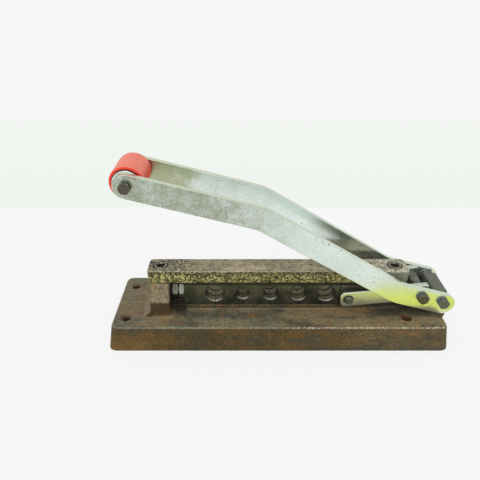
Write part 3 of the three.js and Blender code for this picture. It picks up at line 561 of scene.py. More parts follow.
def cast_iron():
    s = Shader("rusty_cast_iron", IRON_MARKS, Metallic=0.08, Specular_IOR_Level=0.2)
    along, across, height = s.along("X"), s.along("Y"), s.along("Z")
    facing_up = s.facing("Z")
    upward = s.step(facing_up, 0.30, 0.85)
    patches = s.noise(20, 6, 0.6)
    streaks = s.noise(55, 5, 0.6, stretch=(0.5, 1, 1.6), shift=3.1)
    rust = s.noise(80, 6, 0.65, stretch=(0.6, 1, 1), shift=6.3)
    clusters = s.noise(45, 3, 0.6, shift=8.8)
    dots = s.noise(300, 4, 0.7, shift=7.7)
    mottle = s.noise(430, 5, 0.7)
    grain = s.noise(1500, 3, 0.6)

    side = s.mark(s.ramp(patches, IRON_SIDE), "right_side")
    colour = s.mix(upward, side, s.ramp(patches, IRON_TOP))
    colour = s.mark(colour, "streaks", s.step(streaks, 0.34, 0.54, 0.68, 0.0))
    more_on_top = s.step(upward, 0.0, 1.0, 0.30, 0.70)
    colour = s.mark(colour, "rust", s.step(rust, 0.53, 0.68), more_on_top)
    low_on_side = s.product(s.step(upward, 0.5, 0.0), s.step(height, *IRON_LOW_SHARE))
    colour = s.mark(colour, "orange_side", low_on_side)
    colour = s.mark(colour, "left_end", upward)
    colour = s.mottled(colour, 0.75, mottle, IRON_MOTTLE)

    # The sloping flanks of the left post are scoured and painted lighter where they face up, in part a painted
    # highlight; its lower sides are dark with painted shade
    # Scouring and painted highlight on the upward faces above the post's shoulder
    shoulder = s.product(s.band(height, IRON_SHOULDER), s.step(facing_up, 0.2, 0.5))
    colour = s.mix(s.product(shoulder, 0.65), colour, s.ramp(mottle, IRON_GRIT_AND_HIGHLIGHT))
    spots = s.step(s.noise(330, 4, 0.7, shift=2.6), 0.54, 0.62)
    colour = s.mark(colour, "post_rust", shoulder, spots, s.step(patches, 0.4, 0.55))
    # Painted shade: the post's lower sides are darkened
    post_side_shade = s.band(height, IRON_POST_SIDE_HEIGHT)
    post_side_shade = s.product(post_side_shade, s.band(s.off_middle("Y"), IRON_POST_SIDE_ACROSS))
    colour = s.mark(colour, "post_side_shade", post_side_shade)
    # Painted highlight: the toe's upward faces are painted lighter
    colour = s.mark(colour, "post_toe", s.step(facing_up, 0.25, 0.4))

    # Rust on the rail's front rim, oil and painted shadow by the adjusting bolt, painted shade to the right, rusty
    # holes
    rim_gap = s.math("ABSOLUTE", s.math("ADD", across, RAIL_HALF_WIDTH))
    broken = s.product(s.step(dots, 0.45, 0.55), s.step(rust, 0.46, 0.58, 0.0, 0.55))
    colour = s.mark(colour, "rail_line", s.step(rim_gap, *IRON_RAIL_LINE), broken)
    colour = s.mark(colour, "spill", upward, s.step(dots, 0.52, 0.60))
    # Oil stain and painted shadow under the adjusting bolt
    colour = s.mark(colour, "oil_and_shadow")
    # Painted shade at the channel's end by the right post, behind the links and under the lever
    colour = s.mark(colour, "shade_at_channel_end")
    colour = s.mark(colour, "shade_behind_links")
    colour = s.mark(colour, "shadow_under_lever", upward)
    inside = s.band(s.off_middle("Y"), IRON_HOLE_ACROSS)
    inside = s.product(inside, s.band(s.off_middle("X"), IRON_HOLE_ALONG))
    colour = s.mark(colour, "in_holes", inside, s.step(along, *IRON_HOLE_SHARE))

    # Worn rims with a painted highlight along them, sand grains and the smooth grey lug
    outer = s.band(s.off_middle("Y"), IRON_RIM_ACROSS)
    outer = s.math("MAXIMUM", outer, s.band(along, IRON_RIM_LEFT))
    rim = s.product(s.band(facing_up, IRON_RIM_FACING), outer)
    uneven = s.step(mottle, 0.42, 0.60, 0.20, 0.8)
    # The rounded rims are painted lighter: partly wear, partly a painted highlight
    colour = s.mark(colour, "worn_rim_and_highlight", rim, uneven, s.step(along, *IRON_RIM_SHARE))
    grains = s.step(s.noise(650, 2, 0.5, shift=3.9), 0.52, 0.60)
    colour = s.mark(colour, "rim_grains", rim, grains, s.step(along, *IRON_RIM_GRAIN_SHARE))
    grains = s.step(s.noise(900, 2, 0.5, shift=1.3), 0.64, 0.70)
    grains = s.product(grains, s.step(clusters, 0.52, 0.64, 0.05, 0.8))
    grains = s.product(grains, s.step(upward, 0.0, 0.5, 0.35, 1.0))
    colour = s.mark(colour, "pale_grains", grains, s.step(post_side_shade, 0.0, 0.5, 1.0, 0.0))
    lug = s.product(s.band(along, IRON_LUG_ALONG), s.band(height, IRON_LUG_HEIGHT))
    colour = s.mix(s.product(lug, 0.88), colour, s.ramp(patches, IRON_LUG))
    s.set(Base_Color=colour, Roughness=s.step(mottle, 0.3, 0.7, 0.62, 0.88))
    relief = s.product(mottle, s.step(lug, 0.0, 1.0, 1.0, 0.25))
    s.bump((relief, 0.0006, 0.55), (grain, 0.00025, 0.35))
    return s.material


BAR_TOP = (
    (0.34, (0.235, 0.205, 0.135)),
    (0.50, (0.36, 0.305, 0.200)),
    (0.68, (0.46, 0.375, 0.245)),
)
BAR_CRUST_AND_REFLECTION = (
    (0.45, (0.036, 0.030, 0.012)),
    (0.51, (0.20, 0.175, 0.065)),
    (0.58, (0.70, 0.66, 0.30)),
)
BAR_PITS = ((0.42, 0.10), (0.53, 1.50))
BAR_GRIT = ((0.38, 0.22), (0.56, 1.40))
BAR_CLOUD = ((0.36, 0.78), (0.62, 1.18))
BAR_BRUSHED = ((0.38, 0.72), (0.60, 1.28))
BAR_RIM_FACING = (0.45, 0.60, 0.92, 0.98)
BAR_LEFT_END = (-0.06, -0.10)
BAR_RIGHT_END = (0.05, 0.10)
BAR_PIT_SHARE = (-0.01, 0.06, 0.50, 0.72)
BAR_CRUST_AND_REFLECTION_UPWARD_SHARE = (BAR_LOW + 0.0070, BAR_LOW + 0.0105, 1.0, 0.45)
BAR_CRUST_AND_REFLECTION_ALONG_SHARE = (-0.10, -0.01, 1.0, 0.80)
BAR_LOWER_RIM = (BAR_LOW - 0.0038, BAR_LOW - 0.0056)
BAR_RAGGED = -0.008
BAR_MARKS = {
    "left_end": dict(colour=(0.215, 0.208, 0.130), share=0.7),
    "right_end": dict(colour=(0.55, 0.53, 0.40), share=0.7),
    "rim": dict(colour=(0.55, 0.53, 0.43), share=0.45),
    "crust_and_reflection_right_end": dict(colour=(0.40, 0.43, 0.36), share=0.6),
    "lower_rim": dict(colour=(0.17, 0.095, 0.035), share=0.75),
}


def bar_steel():
    """Brushed and pitted on top, encrusted yellow on the front, coarser at the left end. The front's yellow is
    partly a painted reflection; the right end and the top rims carry painted highlights.
    """
    s = Shader("pitted_flat_steel", BAR_MARKS, Metallic=0.6)
    along, height = s.along("X"), s.along("Z")
    left_end, right_end = s.step(along, *BAR_LEFT_END), s.step(along, *BAR_RIGHT_END)
    blotch = s.noise(26, 6, 0.65)
    cloud = s.noise(150, 4, 0.6, shift=4.4)
    brushed = s.noise(260, 3, 0.6, stretch=(0.08, 1, 1), shift=1.7)
    pits = s.noise(620, 4, 0.75)
    coarse = s.noise(720, 2.5, 0.7, shift=2.2)
    grit = s.noise(840, 1.0, 0.5, shift=5.5)

    colour = s.mark(s.ramp(blotch, BAR_TOP), "left_end", left_end)
    # Painted highlight: the right end is painted lighter
    colour = s.mark(colour, "right_end", right_end)
    depth = s.math("ADD", s.product(left_end, 0.45), s.step(along, *BAR_PIT_SHARE))
    colour = s.mottled(colour, depth, pits, BAR_PITS)
    colour = s.mottled(colour, left_end, grit, BAR_GRIT)
    colour = s.mottled(colour, 1.0, cloud, BAR_CLOUD)
    colour = s.mottled(colour, 0.6, brushed, BAR_BRUSHED)
    # Painted highlight along the rounded top rims
    colour = s.mark(colour, "rim", s.band(s.facing("Z"), BAR_RIM_FACING))

    # The front's encrusted yellow is partly a painted reflection: strongest low down and to the left, greyer at
    # the right end
    front = s.step(s.facing("Y"), -0.5, -0.85)
    shade = s.step(height, *BAR_CRUST_AND_REFLECTION_UPWARD_SHARE)
    shade = s.product(shade, s.step(along, *BAR_CRUST_AND_REFLECTION_ALONG_SHARE))
    crust_and_reflection = s.mix(1.0, s.ramp(coarse, BAR_CRUST_AND_REFLECTION), shade, "MULTIPLY")
    crust_and_reflection = s.mark(crust_and_reflection, "crust_and_reflection_right_end", right_end)
    colour = s.mix(s.product(front, 0.9), colour, crust_and_reflection)
    ragged = s.math("ADD", height, s.product(coarse, BAR_RAGGED))
    colour = s.mark(colour, "lower_rim", front, s.step(ragged, *BAR_LOWER_RIM))
    s.set(Base_Color=colour, Roughness=s.step(pits, 0.35, 0.65, 0.58, 0.32))
    s.bump((coarse, 0.0008, 0.55), (pits, 0.0006, 0.7))
    return s.material


DIE_FILM = ((0.38, (0.022, 0.022, 0.015)), (0.62, (0.088, 0.085, 0.057)))
DIE_BORE = ((0.35, (0.030, 0.027, 0.014)), (0.75, (0.175, 0.160, 0.082)))
DIE_INSIDE = (0.0109, 0.0105)
DIE_MARKS = {
    "shade_under_bar": dict(
        colour=(0.006, 0.006, 0.005), share=0.95, Z=(DIE_TOP - 0.0009, DIE_TOP - 0.0005)
    ),
    "bore_mouth_highlight": dict(
        colour=(0.27, 0.275, 0.215),
        share=0.7,
        Y=(-0.0098, -0.0102),
        Z=(DIE_TOP - 0.0050, DIE_TOP - 0.0060),
    ),
}


def die_steel():
    """Oily dark steel; in the crimp bores the lands are painted lighter where they face up and darker where they
    face down, and the lower front mouths carry a painted highlight.
    """
    s = Shader("oily_tool_steel", DIE_MARKS, Metallic=0.6)
    facing_up = s.facing("Z")
    film = s.noise(70, 5, 0.6)
    lines = s.noise(500, 3, 0.6, stretch=(0.15, 1, 1.5))
    fine = s.noise(1100, 3, 0.6)
    # Painted shade: a dark band along the top of each die, under the bar
    colour = s.mark(s.ramp(film, DIE_FILM), "shade_under_bar")
    # Inside the bores, painted light and shade: lighter where the lands face up, darker where they face down
    sideways = s.step(s.aligned("Y"), 0.6, 0.3)
    lands = s.product(s.band(s.off_middle("Y"), DIE_INSIDE), sideways)
    colour = s.mix(s.product(lands, 0.88), colour, s.ramp(facing_up, DIE_BORE))
    # Painted highlight on the lower rims of the bores' front mouths
    colour = s.mark(colour, "bore_mouth_highlight", s.step(facing_up, 0.35, 0.55))
    s.set(Base_Color=colour, Roughness=s.step(fine, 0.3, 0.7, 0.30, 0.52))
    s.bump((lines, 0.0002, 0.25), (fine, 0.0001, 0.2))
    return s.material


ZINC_CLEAN = ((0.38, (0.67, 0.75, 0.68)), (0.62, (0.76, 0.84, 0.80)))
ZINC_STAINED = (
    (0.38, (0.375, 0.405, 0.31)),
    (0.50, (0.45, 0.497, 0.405)),
    (0.62, (0.52, 0.575, 0.515)),
)
ZINC_INNER = ((0.78, 0.87, 0.84), (0.90, 0.97, 0.95))
ZINC_GRAIN = ((0.34, 0.93), (0.62, 1.02))
ZINC_HANDLE_GRAIN = ((0.36, 0.70), (0.56, 1.05))
ZINC_HANDLE_ALONG = (0.055, -0.03)
ZINC_HANDLE_RAGGED = 0.06
ZINC_BRIGHT_SHARE = (0.02, 0.07, 0.7, 0.2)
ZINC_OLIVE_ALONG = (-0.038, -0.062)
ZINC_OLIVE_RAGGED = 0.05
ZINC_FAR_SIDE = (0.0, 0.001)
ZINC_INNER_FACES = (0.0182, 0.0180)
ZINC_LINKS = (0.0170, 0.0166)
ZINC_MARKS = {
    "olive": dict(colour=(0.385, 0.410, 0.205), share=0.80),
    "nicks": dict(colour=(0.20, 0.19, 0.13), share=0.5),
    "shaded": dict(colour=(0.42, 0.46, 0.41), share=0.6, X=(0.02, 0.06, 0.115, 0.125)),
    "sheared": dict(colour=(0.80, 0.88, 0.68), share=0.85),
    "link": dict(colour=(0.58, 0.63, 0.52), share=0.8),
    "link_top": dict(colour=(0.17, 0.155, 0.160), share=0.85, X=(0.112, 0.106)),
}


def zinc_plate():
    """Dull bright plate, cleaner towards the pivot and stained at the handle end."""
    s = Shader("zinc_plated_steel", ZINC_MARKS, Metallic=0.93)
    along, off_middle = s.along("X"), s.off_middle("Y")
    cloud = s.noise(24, 5, 0.6)
    bloom = s.noise(85, 6, 0.68, shift=5.0)
    specks = s.noise(420, 3, 0.6, shift=9.0)
    fine = s.noise(700, 4, 0.7)

    ragged = s.math("ADD", along, s.product(bloom, ZINC_HANDLE_RAGGED))
    handle = s.step(ragged, *ZINC_HANDLE_ALONG)
    colour = s.mix(handle, s.ramp(cloud, ZINC_CLEAN), s.ramp(bloom, ZINC_STAINED))
    inner = s.band(off_middle, ZINC_INNER_FACES)
    bright = s.product(inner, s.step(along, *ZINC_BRIGHT_SHARE))
    colour = s.mix(bright, colour, s.mix(bloom, *ZINC_INNER))
    far_inner = s.product(inner, s.step(s.along("Y"), *ZINC_FAR_SIDE))
    ragged = s.math("ADD", along, s.product(bloom, ZINC_OLIVE_RAGGED))
    colour = s.mark(colour, "olive", far_inner, s.step(ragged, *ZINC_OLIVE_ALONG))
    grainy = s.product(handle, s.step(inner, 0.0, 1.0, 1.0, 0.25))
    grain = s.mix(grainy, s.ramp(fine, ZINC_GRAIN), s.ramp(fine, ZINC_HANDLE_GRAIN))
    colour = s.mix(1.0, colour, grain, "MULTIPLY")
    colour = s.mark(colour, "nicks", s.step(specks, 0.60, 0.68), s.step(cloud, 0.46, 0.58))
    colour = s.mark(colour, "shaded", far_inner)

    sheared = s.step(s.aligned("Y"), 0.45, 0.15)
    colour = s.mark(colour, "sheared", sheared)
    link = s.band(off_middle, ZINC_LINKS)
    colour = s.mark(colour, "link", link)
    colour = s.mark(colour, "link_top", link, sheared)
    smooth = s.step(bloom, 0.3, 0.7, 0.26, 0.16)
    dull = s.step(bloom, 0.3, 0.7, 0.34, 0.26)
    s.set(Base_Color=colour, Roughness=s.mix(s.math("MAXIMUM", handle, link), smooth, dull))
    s.bump((cloud, 0.0003, 0.06), (fine, 0.0001, 0.10))
    return s.material


BLACK_PATCHES = (
    (0.35, (0.060, 0.055, 0.040)),
    (0.60, (0.135, 0.122, 0.088)),
    (0.75, (0.24, 0.215, 0.155)),
)
BLACK_SCOURED = ((0.4, (0.17, 0.155, 0.115)), (0.6, (0.34, 0.315, 0.245)))
BLACK_CHAMFER_FACING = (0.60, 0.75, 0.93, 0.98)
SCREW_TOP_HEIGHT = (BAR_LOW, BAR_LOW + 0.001)
SCREW_TOP_ACROSS = (0.0100, 0.0090)
BLACK_MARKS = {
    "lever_tip": dict(colour=(0.24, 0.265, 0.27), share=0.35, X=(0.132, 0.134)),
    "chamfer": dict(colour=(0.40, 0.39, 0.31), share=0.55),
    "end_face": dict(colour=(0.040, 0.037, 0.028), share=0.30),
    "adjuster_highlight": dict(
        colour=(0.29, 0.32, 0.26),
        share=0.5,
        X=(-0.070, -0.075),
        Z=(BAR_LOW - 0.001, BAR_LOW - 0.002),
    ),
}


def black_steel():
    """Worn black bolts and nuts, with the tops of the bar's screws scoured."""
    s = Shader("black_oxide_steel", BLACK_MARKS, Metallic=0.7)
    patches = s.noise(260, 5, 0.65)
    fine = s.noise(1500, 3, 0.6)
    endwise = s.aligned("Y")
    colour = s.mark(s.ramp(patches, BLACK_PATCHES), "lever_tip")
    colour = s.mark(colour, "chamfer", s.band(endwise, BLACK_CHAMFER_FACING))
    colour = s.mark(colour, "end_face", s.step(endwise, 0.95, 0.99))
    # Painted highlight: the adjusting bolt and its lock nut are painted lighter
    colour = s.mark(colour, "adjuster_highlight")
    screw_tops = s.product(s.band(s.along("Z"), SCREW_TOP_HEIGHT), s.step(s.facing("Z"), 0.8, 0.9))
    screw_tops = s.product(screw_tops, s.band(s.off_middle("Y"), SCREW_TOP_ACROSS))
    colour = s.mix(s.product(screw_tops, 0.85), colour, s.ramp(patches, BLACK_SCOURED))
    s.set(Base_Color=colour, Roughness=s.step(patches, 0.3, 0.7, 0.34, 0.52))
    s.bump((patches, 0.0002, 0.3), (fine, 0.0001, 0.3))
    return s.material


TURNED_FILM = ((0.35, (0.10, 0.10, 0.075)), (0.65, (0.21, 0.205, 0.16)))
PIN_FILM = ((0.4, (0.05, 0.05, 0.04)), (0.6, (0.13, 0.13, 0.105)))
PIN_ALONG = (0.054, 0.056, 0.066, 0.068)


def turned_steel():
    """Dull turned steel, darker on the ram's pin."""
    s = Shader("dull_turned_steel", Metallic=0.7)
    film = s.noise(180, 5, 0.6)
    fine = s.noise(1300, 3, 0.6)
    pin = s.product(s.band(s.along("X"), PIN_ALONG), 0.7)
    colour = s.mix(pin, s.ramp(film, TURNED_FILM), s.ramp(film, PIN_FILM))
    s.set(Base_Color=colour, Roughness=s.step(film, 0.3, 0.7, 0.30, 0.5))
    s.bump((fine, 0.0001, 0.25))
    return s.material


RED_DEEP = ((0.3, (0.78, 0.036, 0.016)), (0.7, (0.86, 0.052, 0.024)))
RED_PALE = ((0.3, (0.84, 0.175, 0.115)), (0.7, (0.88, 0.220, 0.150)))
RED_RIM = (ROLLER_FACE - 0.0002, ROLLER_FACE - 0.0008)
RED_RECESS = (ROLLER_FACE - 0.0004, ROLLER_FACE - 0.0007)
RED_MARKS = {
    "recess_shade": dict(colour=(0.075, 0.028, 0.018), share=0.9),
    "scuffs": dict(colour=(0.45, 0.14, 0.10), share=0.22),
}


def red_plastic():
    """Grip plastic: deep red on its lower sides and rims, paler on top with dust and painted sheen."""
    finish = dict(Specular_IOR_Level=0.35, Coat_Weight=0.06, Coat_Roughness=0.3)
    s = Shader("salmon_red_plastic", RED_MARKS, **finish)
    off_middle = s.off_middle("Y")
    cloud = s.noise(45, 4, 0.55)
    scuffs = s.noise(240, 4, 0.7, stretch=(1, 0.25, 1), shift=4.0)
    fine = s.noise(900, 3, 0.6)
    # Paler where the surface faces up and sideways: dust and painted sheen
    sideways = s.product(s.aligned("X"), 0.35)
    dust_and_sheen = s.step(s.math("ADD", s.product(s.facing("Z"), 0.8), sideways), 0.35, 0.80)
    dust_and_sheen = s.product(dust_and_sheen, s.step(off_middle, *RED_RIM, 0.45, 1.0))
    colour = s.mix(dust_and_sheen, s.ramp(cloud, RED_DEEP), s.ramp(cloud, RED_PALE))
    end_face = s.step(s.aligned("Y"), 0.5, 0.8)
    # Painted shade on the floor of the recess in each end face
    colour = s.mark(colour, "recess_shade", s.band(off_middle, RED_RECESS), end_face)
    colour = s.mark(colour, "scuffs", s.step(scuffs, 0.55, 0.72))
    s.set(Base_Color=colour, Roughness=s.step(scuffs, 0.4, 0.7, 0.38, 0.5))
    s.bump((scuffs, 0.0001, 0.2), (fine, 0.00006, 0.2))
    return s.material


looks = {
    "cast_iron": cast_iron(),
    "bar_steel": bar_steel(),
    "die_steel": die_steel(),
    "black_steel": black_steel(),
    "zinc_plate": zinc_plate(),
    "tube_steel": turned_steel(),
    "red_plastic": red_plastic(),
}
slot_of = {part["node"]: part["material_slot"] for part in frame["record"]["subparts"]}
body_of = {
    node: body for body, nodes in frame["record"]["behaviour"]["bodies"].items() for node in nodes
}


def dress(piece, *nodes):
    """Gives a piece its finish and lets it stand for its nodes, on their body."""
    slot = slot_of[nodes[0]]
    piece.data.materials.clear()
    piece.data.materials.append(looks[slot])
    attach(piece, body_of[nodes[0]])
    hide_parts(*nodes)
    return piece


# The casting and the bar: softened and roughened from their solids


def softened(name, node, voxel, ripple, ripple_size, keep, grown=None):
    """Solid with its edges worn round and its surface uneven, always inside the solid's box."""
    piece = add_object(name, frame["nodes"][node].data.copy())
    if grown:
        piece = join_pieces(name, piece, grown)
    remesh = piece.modifiers.new("remesh", "REMESH")
    remesh.mode = "VOXEL"
    remesh.voxel_size = voxel
    soften = piece.modifiers.new("soften", "SMOOTH")
    soften.factor = 0.5
    soften.iterations = SMOOTHING_ROUNDS
    texture = bpy.data.textures.new(name, "CLOUDS")
    texture.noise_scale = ripple_size
    texture.noise_depth = 3
    uneven = piece.modifiers.new("uneven", "DISPLACE")
    uneven.texture = texture
    uneven.texture_coords = "LOCAL"
    uneven.strength = ripple
    uneven.mid_level = 1.0
    thin = piece.modifiers.new("thin", "DECIMATE")
    thin.ratio = keep
    apply_modifiers(piece)
    low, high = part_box(node)
    for vertex in piece.data.vertices:
        vertex.co = [min(max(c, a), b) for c, a, b in zip(vertex.co, low, high)]
    for polygon in piece.data.polygons:
        polygon.use_smooth = True
    return dress(piece, node)


def post_toe():
    """Straight toe along the outer side of the left post, from its foot up to its flank."""
    flank = centre("bar_screw_left").x - POST_HALF_LENGTH
    inside, tip = flank + TOE_OVERLAP, flank - TOE_REACH
    sunk, rise = FOOT_TOP - TOE_SUNK, FOOT_TOP + TOE_RISE
    corners = [(inside, sunk), (inside, rise + TOE_ROOT_RISE), (flank, rise)]
    corners += [(tip, FOOT_TOP - TOE_LIP), (tip, sunk)]
    return slab("post_toe", corners, [], -TOE_HALF_WIDTH, TOE_HALF_WIDTH, TOE_EDGE)


skin = dict(voxel=0.0007, ripple=0.00026, ripple_size=0.006, keep=0.5)
softened("iron_base", "base_casting", **skin, grown=post_toe())
skin = dict(voxel=0.0006, ripple=0.00022, ripple_size=0.0022, keep=0.6)
softened("clamp_bar", "top_bar", **skin)


# Screws, bolts and nuts


def socket_screw(node):
    low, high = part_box(node)
    radius, edge, seat = SCREW_HEAD_RADIUS, SCREW_EDGE, high.z - SCREW_HEAD_HEIGHT
    outline = [(0, low.z), (SCREW_SHANK_RADIUS, low.z), (SCREW_SHANK_RADIUS, seat)]
    outline += [(radius - edge / 3, seat), (radius, seat + edge / 3)]
    outline += arc(radius - edge, high.z - edge, edge, 0, QUARTER) + [(0, high.z)]
    body = lathe(node + "_form", outline)
    socket_radius = SCREW_SOCKET_ACROSS / math.sqrt(3)
    floor = high.z - SCREW_SOCKET_DEPTH
    tip = floor - socket_radius * SCREW_DRILL_TIP
    rim = high.z + CUT_OVERRUN
    socket_outline = [(0, tip), (socket_radius, floor), (socket_radius, rim), (0, rim)]
    socket = lathe("socket", socket_outline, steps=6)
    sink_tip = high.z - SCREW_SINK_DEPTH - socket_radius
    sink_radius = socket_radius + SCREW_SINK_DEPTH + CUT_OVERRUN
    sink = lathe("sink", [(0, sink_tip), (sink_radius, rim), (0, rim)])
    boolean(body, [socket, sink])
    middle = (low + high) / 2
    body.data.transform(Matrix.Translation((middle.x, middle.y, 0)))
    return dress(smooth_by_angle(body), node)


socket_screw("bar_screw_left")
socket_screw("bar_screw_right")


def hex_bolt(name, across, head_height, radius, length, threaded_from):
    """Bolt about Z with its head below z = 0 and its shank pointing up."""
    head = hexagon(name, across, head_height)
    head.data.transform(Matrix.Translation((0, 0, -head_height)))
    outline = [(0, -head_height / 2), (radius, -head_height / 2)]
    outline += thread_outline(radius, threaded_from, length - BOLT_EDGE)
    outline += [(radius - THREAD_DEPTH - BOLT_EDGE / 2, length), (0, length)]
    return join_pieces(name, head, lathe(name + "_shank", outline))


def lever_bolt(prefix, turn):
    bolt_low, bolt_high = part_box(prefix + "_bolt")
    nut_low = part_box(prefix + "_nut")[0]
    spot = centre(prefix + "_bolt")
    seat = bolt_low.y + BOLT_HEAD_HEIGHT
    head = prefix + "_bolt_form", BOLT_ACROSS, BOLT_HEAD_HEIGHT
    bolt = hex_bolt(*head, BOLT_RADIUS, bolt_high.y - seat, nut_low.y - seat)
    place(bolt, (spot.x, seat, spot.z), ALONG_Y, turn)
    dress(smooth_by_angle(bolt), prefix + "_bolt")
    nut = hexagon(prefix + "_nut_form", BOLT_ACROSS, BOLT_NUT_HEIGHT, bore=BOLT_HOLE)
    place(nut, (spot.x, nut_low.y, spot.z), ALONG_Y, turn)
    dress(smooth_by_angle(nut), prefix + "_nut")


for prefix, turn in HEAD_TURNS.items():
    lever_bolt(prefix, turn)

low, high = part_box("adjusting_bolt")
head_seat = high.x - ADJUST_HEAD_HEIGHT
head = "adjusting_bolt_form", ADJUST_ACROSS, ADJUST_HEAD_HEIGHT
adjusting = hex_bolt(*head, ADJUST_RADIUS, head_seat - low.x, BOLT_EDGE)
place(adjusting, (head_seat, 0, adjust_place.z), -ALONG_X)
dress(smooth_by_angle(adjusting), "adjusting_bolt")
low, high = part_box("adjusting_lock_nut")
lock_nut = hexagon("lock_nut_form", ADJUST_ACROSS, high.x - low.x, bore=ADJUST_HOLE)
place(lock_nut, (low.x, 0, adjust_place.z), ALONG_X)
dress(smooth_by_angle(lock_nut), "adjusting_lock_nut")


# Dies and ram


def bore_places():
    """Middle of each crimp bore: halfway between the two dies that share it."""
    axis_z = pivot_place.z + BORE_ABOVE_PIVOT
    dies = [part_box(node) for node in DIE_NODES]
    gaps = [(left[1].x + right[0].x) / 2 for left, right in zip(dies, dies[1:])]
    return [Vector((x, 0, axis_z)) for x in gaps]


bores = bore_places()


def bore_cutter(index, half):
    radius = BORE_RADII[index]
    deep = radius + GROOVE_DEPTH
    pitch = (2 * half + GROOVE_WIDTH) / LAND_COUNT
    wide = radius + BORE_MOUTH + CUT_OVERRUN
    end = half + CUT_OVERRUN
    outline = [(0, -end), (wide, -end), (radius, BORE_MOUTH - half)]
    for groove in range(1, LAND_COUNT):
        start = groove * pitch - half - GROOVE_WIDTH
        ease = GROOVE_WIDTH / 4
        outline += [(radius, start), (deep, start + ease)]
        outline += [(deep, start + GROOVE_WIDTH - ease), (radius, start + GROOVE_WIDTH)]
    outline += [(radius, half - BORE_MOUTH), (wide, end), (0, end)]
    cutter = lathe(f"bore_{index}", outline, steps=FINEST_STEPS)
    return place(cutter, bores[index], ALONG_Y)


def channel_block(name, node):
    """Block with a groove underneath for the rail's tongue, its rims rounded."""
    low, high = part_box(node)
    half = high.y
    groove, roof = TONGUE_GROOVE_HALF, low.z + TONGUE_GROOVE_DEPTH
    corners = [(half, low.z), (half, high.z), (-half, high.z), (-half, low.z)]
    corners += [(-groove, low.z), (-groove, roof), (groove, roof), (groove, low.z)]
    block = slab(name, corners, [], low.x, high.x, DIE_EDGE)
    block.data.transform(SWAP_X_AND_Y)
    weld(block)
    rounding = block.modifiers.new("rounding", "BEVEL")
    rounding.width = DIE_EDGE
    rounding.segments = 2
    rounding.angle_limit = math.radians(DIE_EDGE_ANGLE)
    return apply_modifiers(block)


for index, node in enumerate(DIE_NODES):
    block = channel_block(node + "_form", node)
    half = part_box(node)[1].y
    cutters = [bore_cutter(i, half) for i in (index - 1, index) if 0 <= i < len(bores)]
    boolean(block, cutters)
    dress(smooth_by_angle(block), node)

ram = channel_block("ram_block_form", "ram_block")
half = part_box("ram_block")[1].y + CUT_OVERRUN
hole = lathe("ram_hole", [(0, -half), (RAM_PIN_HOLE, -half), (RAM_PIN_HOLE, half), (0, half)])
boolean(ram, [place(hole, ram_pin_place, ALONG_Y)])
dress(smooth_by_angle(ram), "ram_block")

reach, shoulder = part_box("ram_pin")[1].y, RAM_PIN_RADIUS - PIN_ROUNDING
outline = [(0, -reach), (shoulder - PIN_CROWN, -reach), (shoulder, PIN_CROWN_RISE - reach)]
outline += arc(shoulder, PIN_ROUNDING - reach, PIN_ROUNDING, PIN_ROUNDING_START, 0)
outline += [(radius, -height) for radius, height in reversed(outline)]
dress(smooth_by_angle(place(lathe("ram_pin_form", outline), ram_pin_place, ALONG_Y)), "ram_pin")


# Links and lever bars


def link_loops():
    """Link outline in XZ: a flat bar with a well rounded heel and a nearly square toe."""
    span = crank_place - ram_pin_place
    length = math.hypot(span.x, span.z)
    tilt = math.atan2(span.z, span.x)
    toe, heel = LINK_TOE_RADIUS, LINK_HEEL_RADIUS
    toe_x, toe_z = length + LINK_TOE_LENGTH - toe, LINK_HALF_WIDTH - toe
    heel_x, heel_z = heel - LINK_HEEL_LENGTH, LINK_HALF_WIDTH - heel
    outer = arc(toe_x, -toe_z, toe, -QUARTER, 0, LINK_TOE_STEPS)
    outer += arc(toe_x, toe_z, toe, 0, QUARTER, LINK_TOE_STEPS)
    outer += arc(heel_x, heel_z, heel, QUARTER, 2 * QUARTER, LINK_HEEL_STEPS)
    outer += arc(heel_x, -heel_z, heel, 2 * QUARTER, 3 * QUARTER, LINK_HEEL_STEPS)
    holes = [circle(0, 0, RAM_PIN_HOLE), circle(length, 0, LINK_EYE_HOLE)]
    turn = Matrix.Rotation(tilt, 2)
    origin = Vector((ram_pin_place.x, ram_pin_place.z))
    return [[turn @ Vector(point) + origin for point in loop] for loop in (outer, *holes)]


